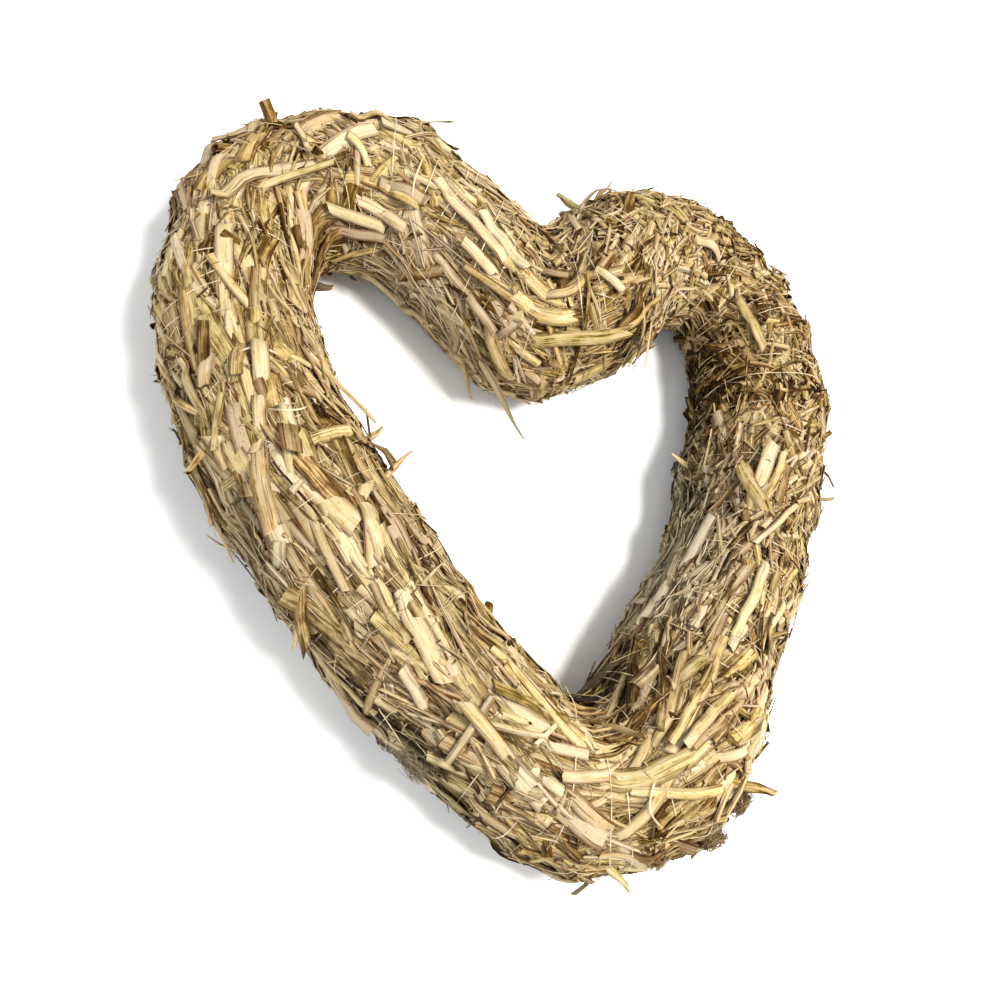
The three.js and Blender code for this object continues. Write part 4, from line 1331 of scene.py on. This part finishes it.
class STRAWHEART_OT_thread(bpy.types.Operator):
    """Winds the clear thread round the bundle from end to end, with a few slack loops"""
    bl_idname = "straw_heart.thread"
    bl_label = "Binding thread"

    def execute(self, context):
        skin = skin_of(context)
        thread = context.scene.straw_heart_thread
        finish = thread_material(thread.colour, thread.roughness)
        per_turn = 40
        turns = np.arange(thread.turns * per_turn - per_turn // 4) / per_turn
        around = turns * 360 - 90
        along = skin.thread_along(turns) + 0.8 * np.sin(TURN * 2.3 * turns) + 0.4 * np.sin(TURN * 5.1 * turns)
        slack = 0.55 + 0.25 * np.sin(TURN * 0.71 * turns) + 0.35 * np.sin(TURN * 1.93 * turns + 1)
        high = 1.55 + slack + 0.7 * (lay_at(along, 2, skin.run) - 1)
        normal = skin.sample(skin.normal, along, around)
        path = skin.sample(skin.point, along, around) + normal * high[:, None]
        for _ in range(3):
            path[1:-1] = path[:-2] / 4 + path[1:-1] / 2 + path[2:] / 4
        wound = thread_mesh("wound_thread", path, normal, thread.diameter / MM / 2)
        dress(wound, finish, "thread", "binding_thread")
        part = np.linspace(0, 1, 30)
        arch = np.sin(math.pi * part)
        for number, (start, end, sideways, height) in enumerate(THREAD_LOOPS, 1):
            along, around = (first + (last - first) * part for first, last in zip(start, end))
            along = along + sideways * arch
            normal = skin.sample(skin.normal, along, around)
            path = skin.sample(skin.point, along, around) + normal * (height * arch)[:, None]
            loop = thread_mesh(f"thread_loop_{number}", path, normal, thread.diameter / MM)
            dress(loop, finish, "thread", "binding_thread")
        return {"FINISHED"}


def stage_object(name, data):
    """Links data into the scene as an object, which is given back."""
    made = bpy.data.objects.new(name, data)
    bpy.context.scene.collection.objects.link(made)
    return made


def area_light(name, place, target, size, power, colour):
    """A square soft light that looks at a point."""
    light = bpy.data.lights.new(name, "AREA")
    light.size, light.energy, light.color = size, power, colour
    lamp = stage_object(name, light)
    lamp.location = place
    lamp.rotation_euler = (Vector(target) - Vector(place)).to_track_quat("-Z", "Y").to_euler()


def camera_place(target, turn, height, roll, distance):
    """The camera's place: it looks at the target from a turn round it, a height over the horizon and a
    distance, turned about its own line by roll."""
    level = math.cos(height)
    back = Vector((math.sin(turn) * level, -math.cos(turn) * level, math.sin(height)))
    right = (-back).cross(Vector((0, 0, 1))).normalized()
    down = (-back).cross(right)
    across = right * math.cos(roll) + down * math.sin(roll)
    below = down * math.cos(roll) - right * math.sin(roll)
    place = Matrix((across, -below, back)).transposed().to_4x4()
    place.translation = target + back * distance
    return place


class STRAWHEART_OT_stage(bpy.types.Operator):
    """Makes the pale floor, the soft lights and the camera"""
    bl_idname = "straw_heart.stage"
    bl_label = "Stage"

    def execute(self, context):
        stage = context.scene.straw_heart_stage
        size, under = 4.0, -0.0005
        mesh = bpy.data.meshes.new("floor")
        corners = [(x * size, y * size, under) for x, y in ((-1, -1), (1, -1), (1, 1), (-1, 1))]
        mesh.from_pydata(corners, [], [(0, 1, 2, 3)])
        material, tree, shader = new_material("floor")
        feed(tree, shader, {"Base Color": (*stage.floor_colour, 1), "Roughness": 0.9})
        mesh.materials.append(material)
        floor = stage_object("floor", mesh)

        world = bpy.data.worlds.new("studio")
        world.use_nodes = True
        feed(world.node_tree, world.node_tree.nodes["Background"],
             {"Color": (1, 0.94, 0.84, 1), "Strength": stage.sky})
        context.scene.world = world
        context.scene.view_settings.view_transform = "Standard"
        middle = (0, 0, 0.02)
        area_light("key", (0.25, -0.1, 0.85), middle, 0.35, stage.key_power, (1, 0.95, 0.87))
        area_light("fill", (-0.6, -0.5, 0.6), middle, 0.8, stage.fill_power, (0.88, 0.94, 1))

        camera = bpy.data.cameras.new("camera")
        camera.lens, camera.sensor_width = stage.lens, 36
        camera.clip_start, camera.clip_end = 0.01, 20
        holder = stage_object("camera", camera)
        target = Vector((-16, -11, 24)) * MM
        holder.matrix_world = camera_place(target, stage.azimuth, stage.elevation, stage.roll, stage.distance)
        context.scene.camera = holder
        return {"FINISHED"}


OPERATORS = (
    STRAWHEART_OT_core, STRAWHEART_OT_under_layer, STRAWHEART_OT_whole_straws, STRAWHEART_OT_split_straws,
    STRAWHEART_OT_chopped_straw, STRAWHEART_OT_slivers, STRAWHEART_OT_strands, STRAWHEART_OT_shown_straws,
    STRAWHEART_OT_fibres, STRAWHEART_OT_bound_fibres, STRAWHEART_OT_hollow_stubs, STRAWHEART_OT_loose_straws,
    STRAWHEART_OT_fuzz, STRAWHEART_OT_thread, STRAWHEART_OT_stage,
)
SETTINGS = {
    "straw_heart": StrawSettings, "straw_heart_thread": ThreadSettings, "straw_heart_stage": StageSettings,
}


class STRAWHEART_PT_panel(bpy.types.Panel):
    """Lists the steps and their settings"""
    bl_label = "Straw heart"
    bl_space_type = "VIEW_3D"
    bl_region_type = "UI"
    bl_category = "Straw heart"

    def draw(self, context):
        for name in SETTINGS:
            group = getattr(context.scene, name)
            box = self.layout.box()
            for value in group.__annotations__:
                box.prop(group, value)
        for operator in OPERATORS:
            self.layout.operator(operator.bl_idname)


def register():
    for made in (*SETTINGS.values(), *OPERATORS, STRAWHEART_PT_panel):
        bpy.utils.register_class(made)
    for name, group in SETTINGS.items():
        setattr(bpy.types.Scene, name, bpy.props.PointerProperty(type=group))


def unregister():
    for name in SETTINGS:
        delattr(bpy.types.Scene, name)
    for made in reversed((*SETTINGS.values(), *OPERATORS, STRAWHEART_PT_panel)):
        bpy.utils.unregister_class(made)


def main():
    """Runs the steps in order."""
    register()
    for operator in OPERATORS:
        group, name = operator.bl_idname.split(".")
        getattr(getattr(bpy.ops, group), name)()


if __name__ == "__main__":
    main()
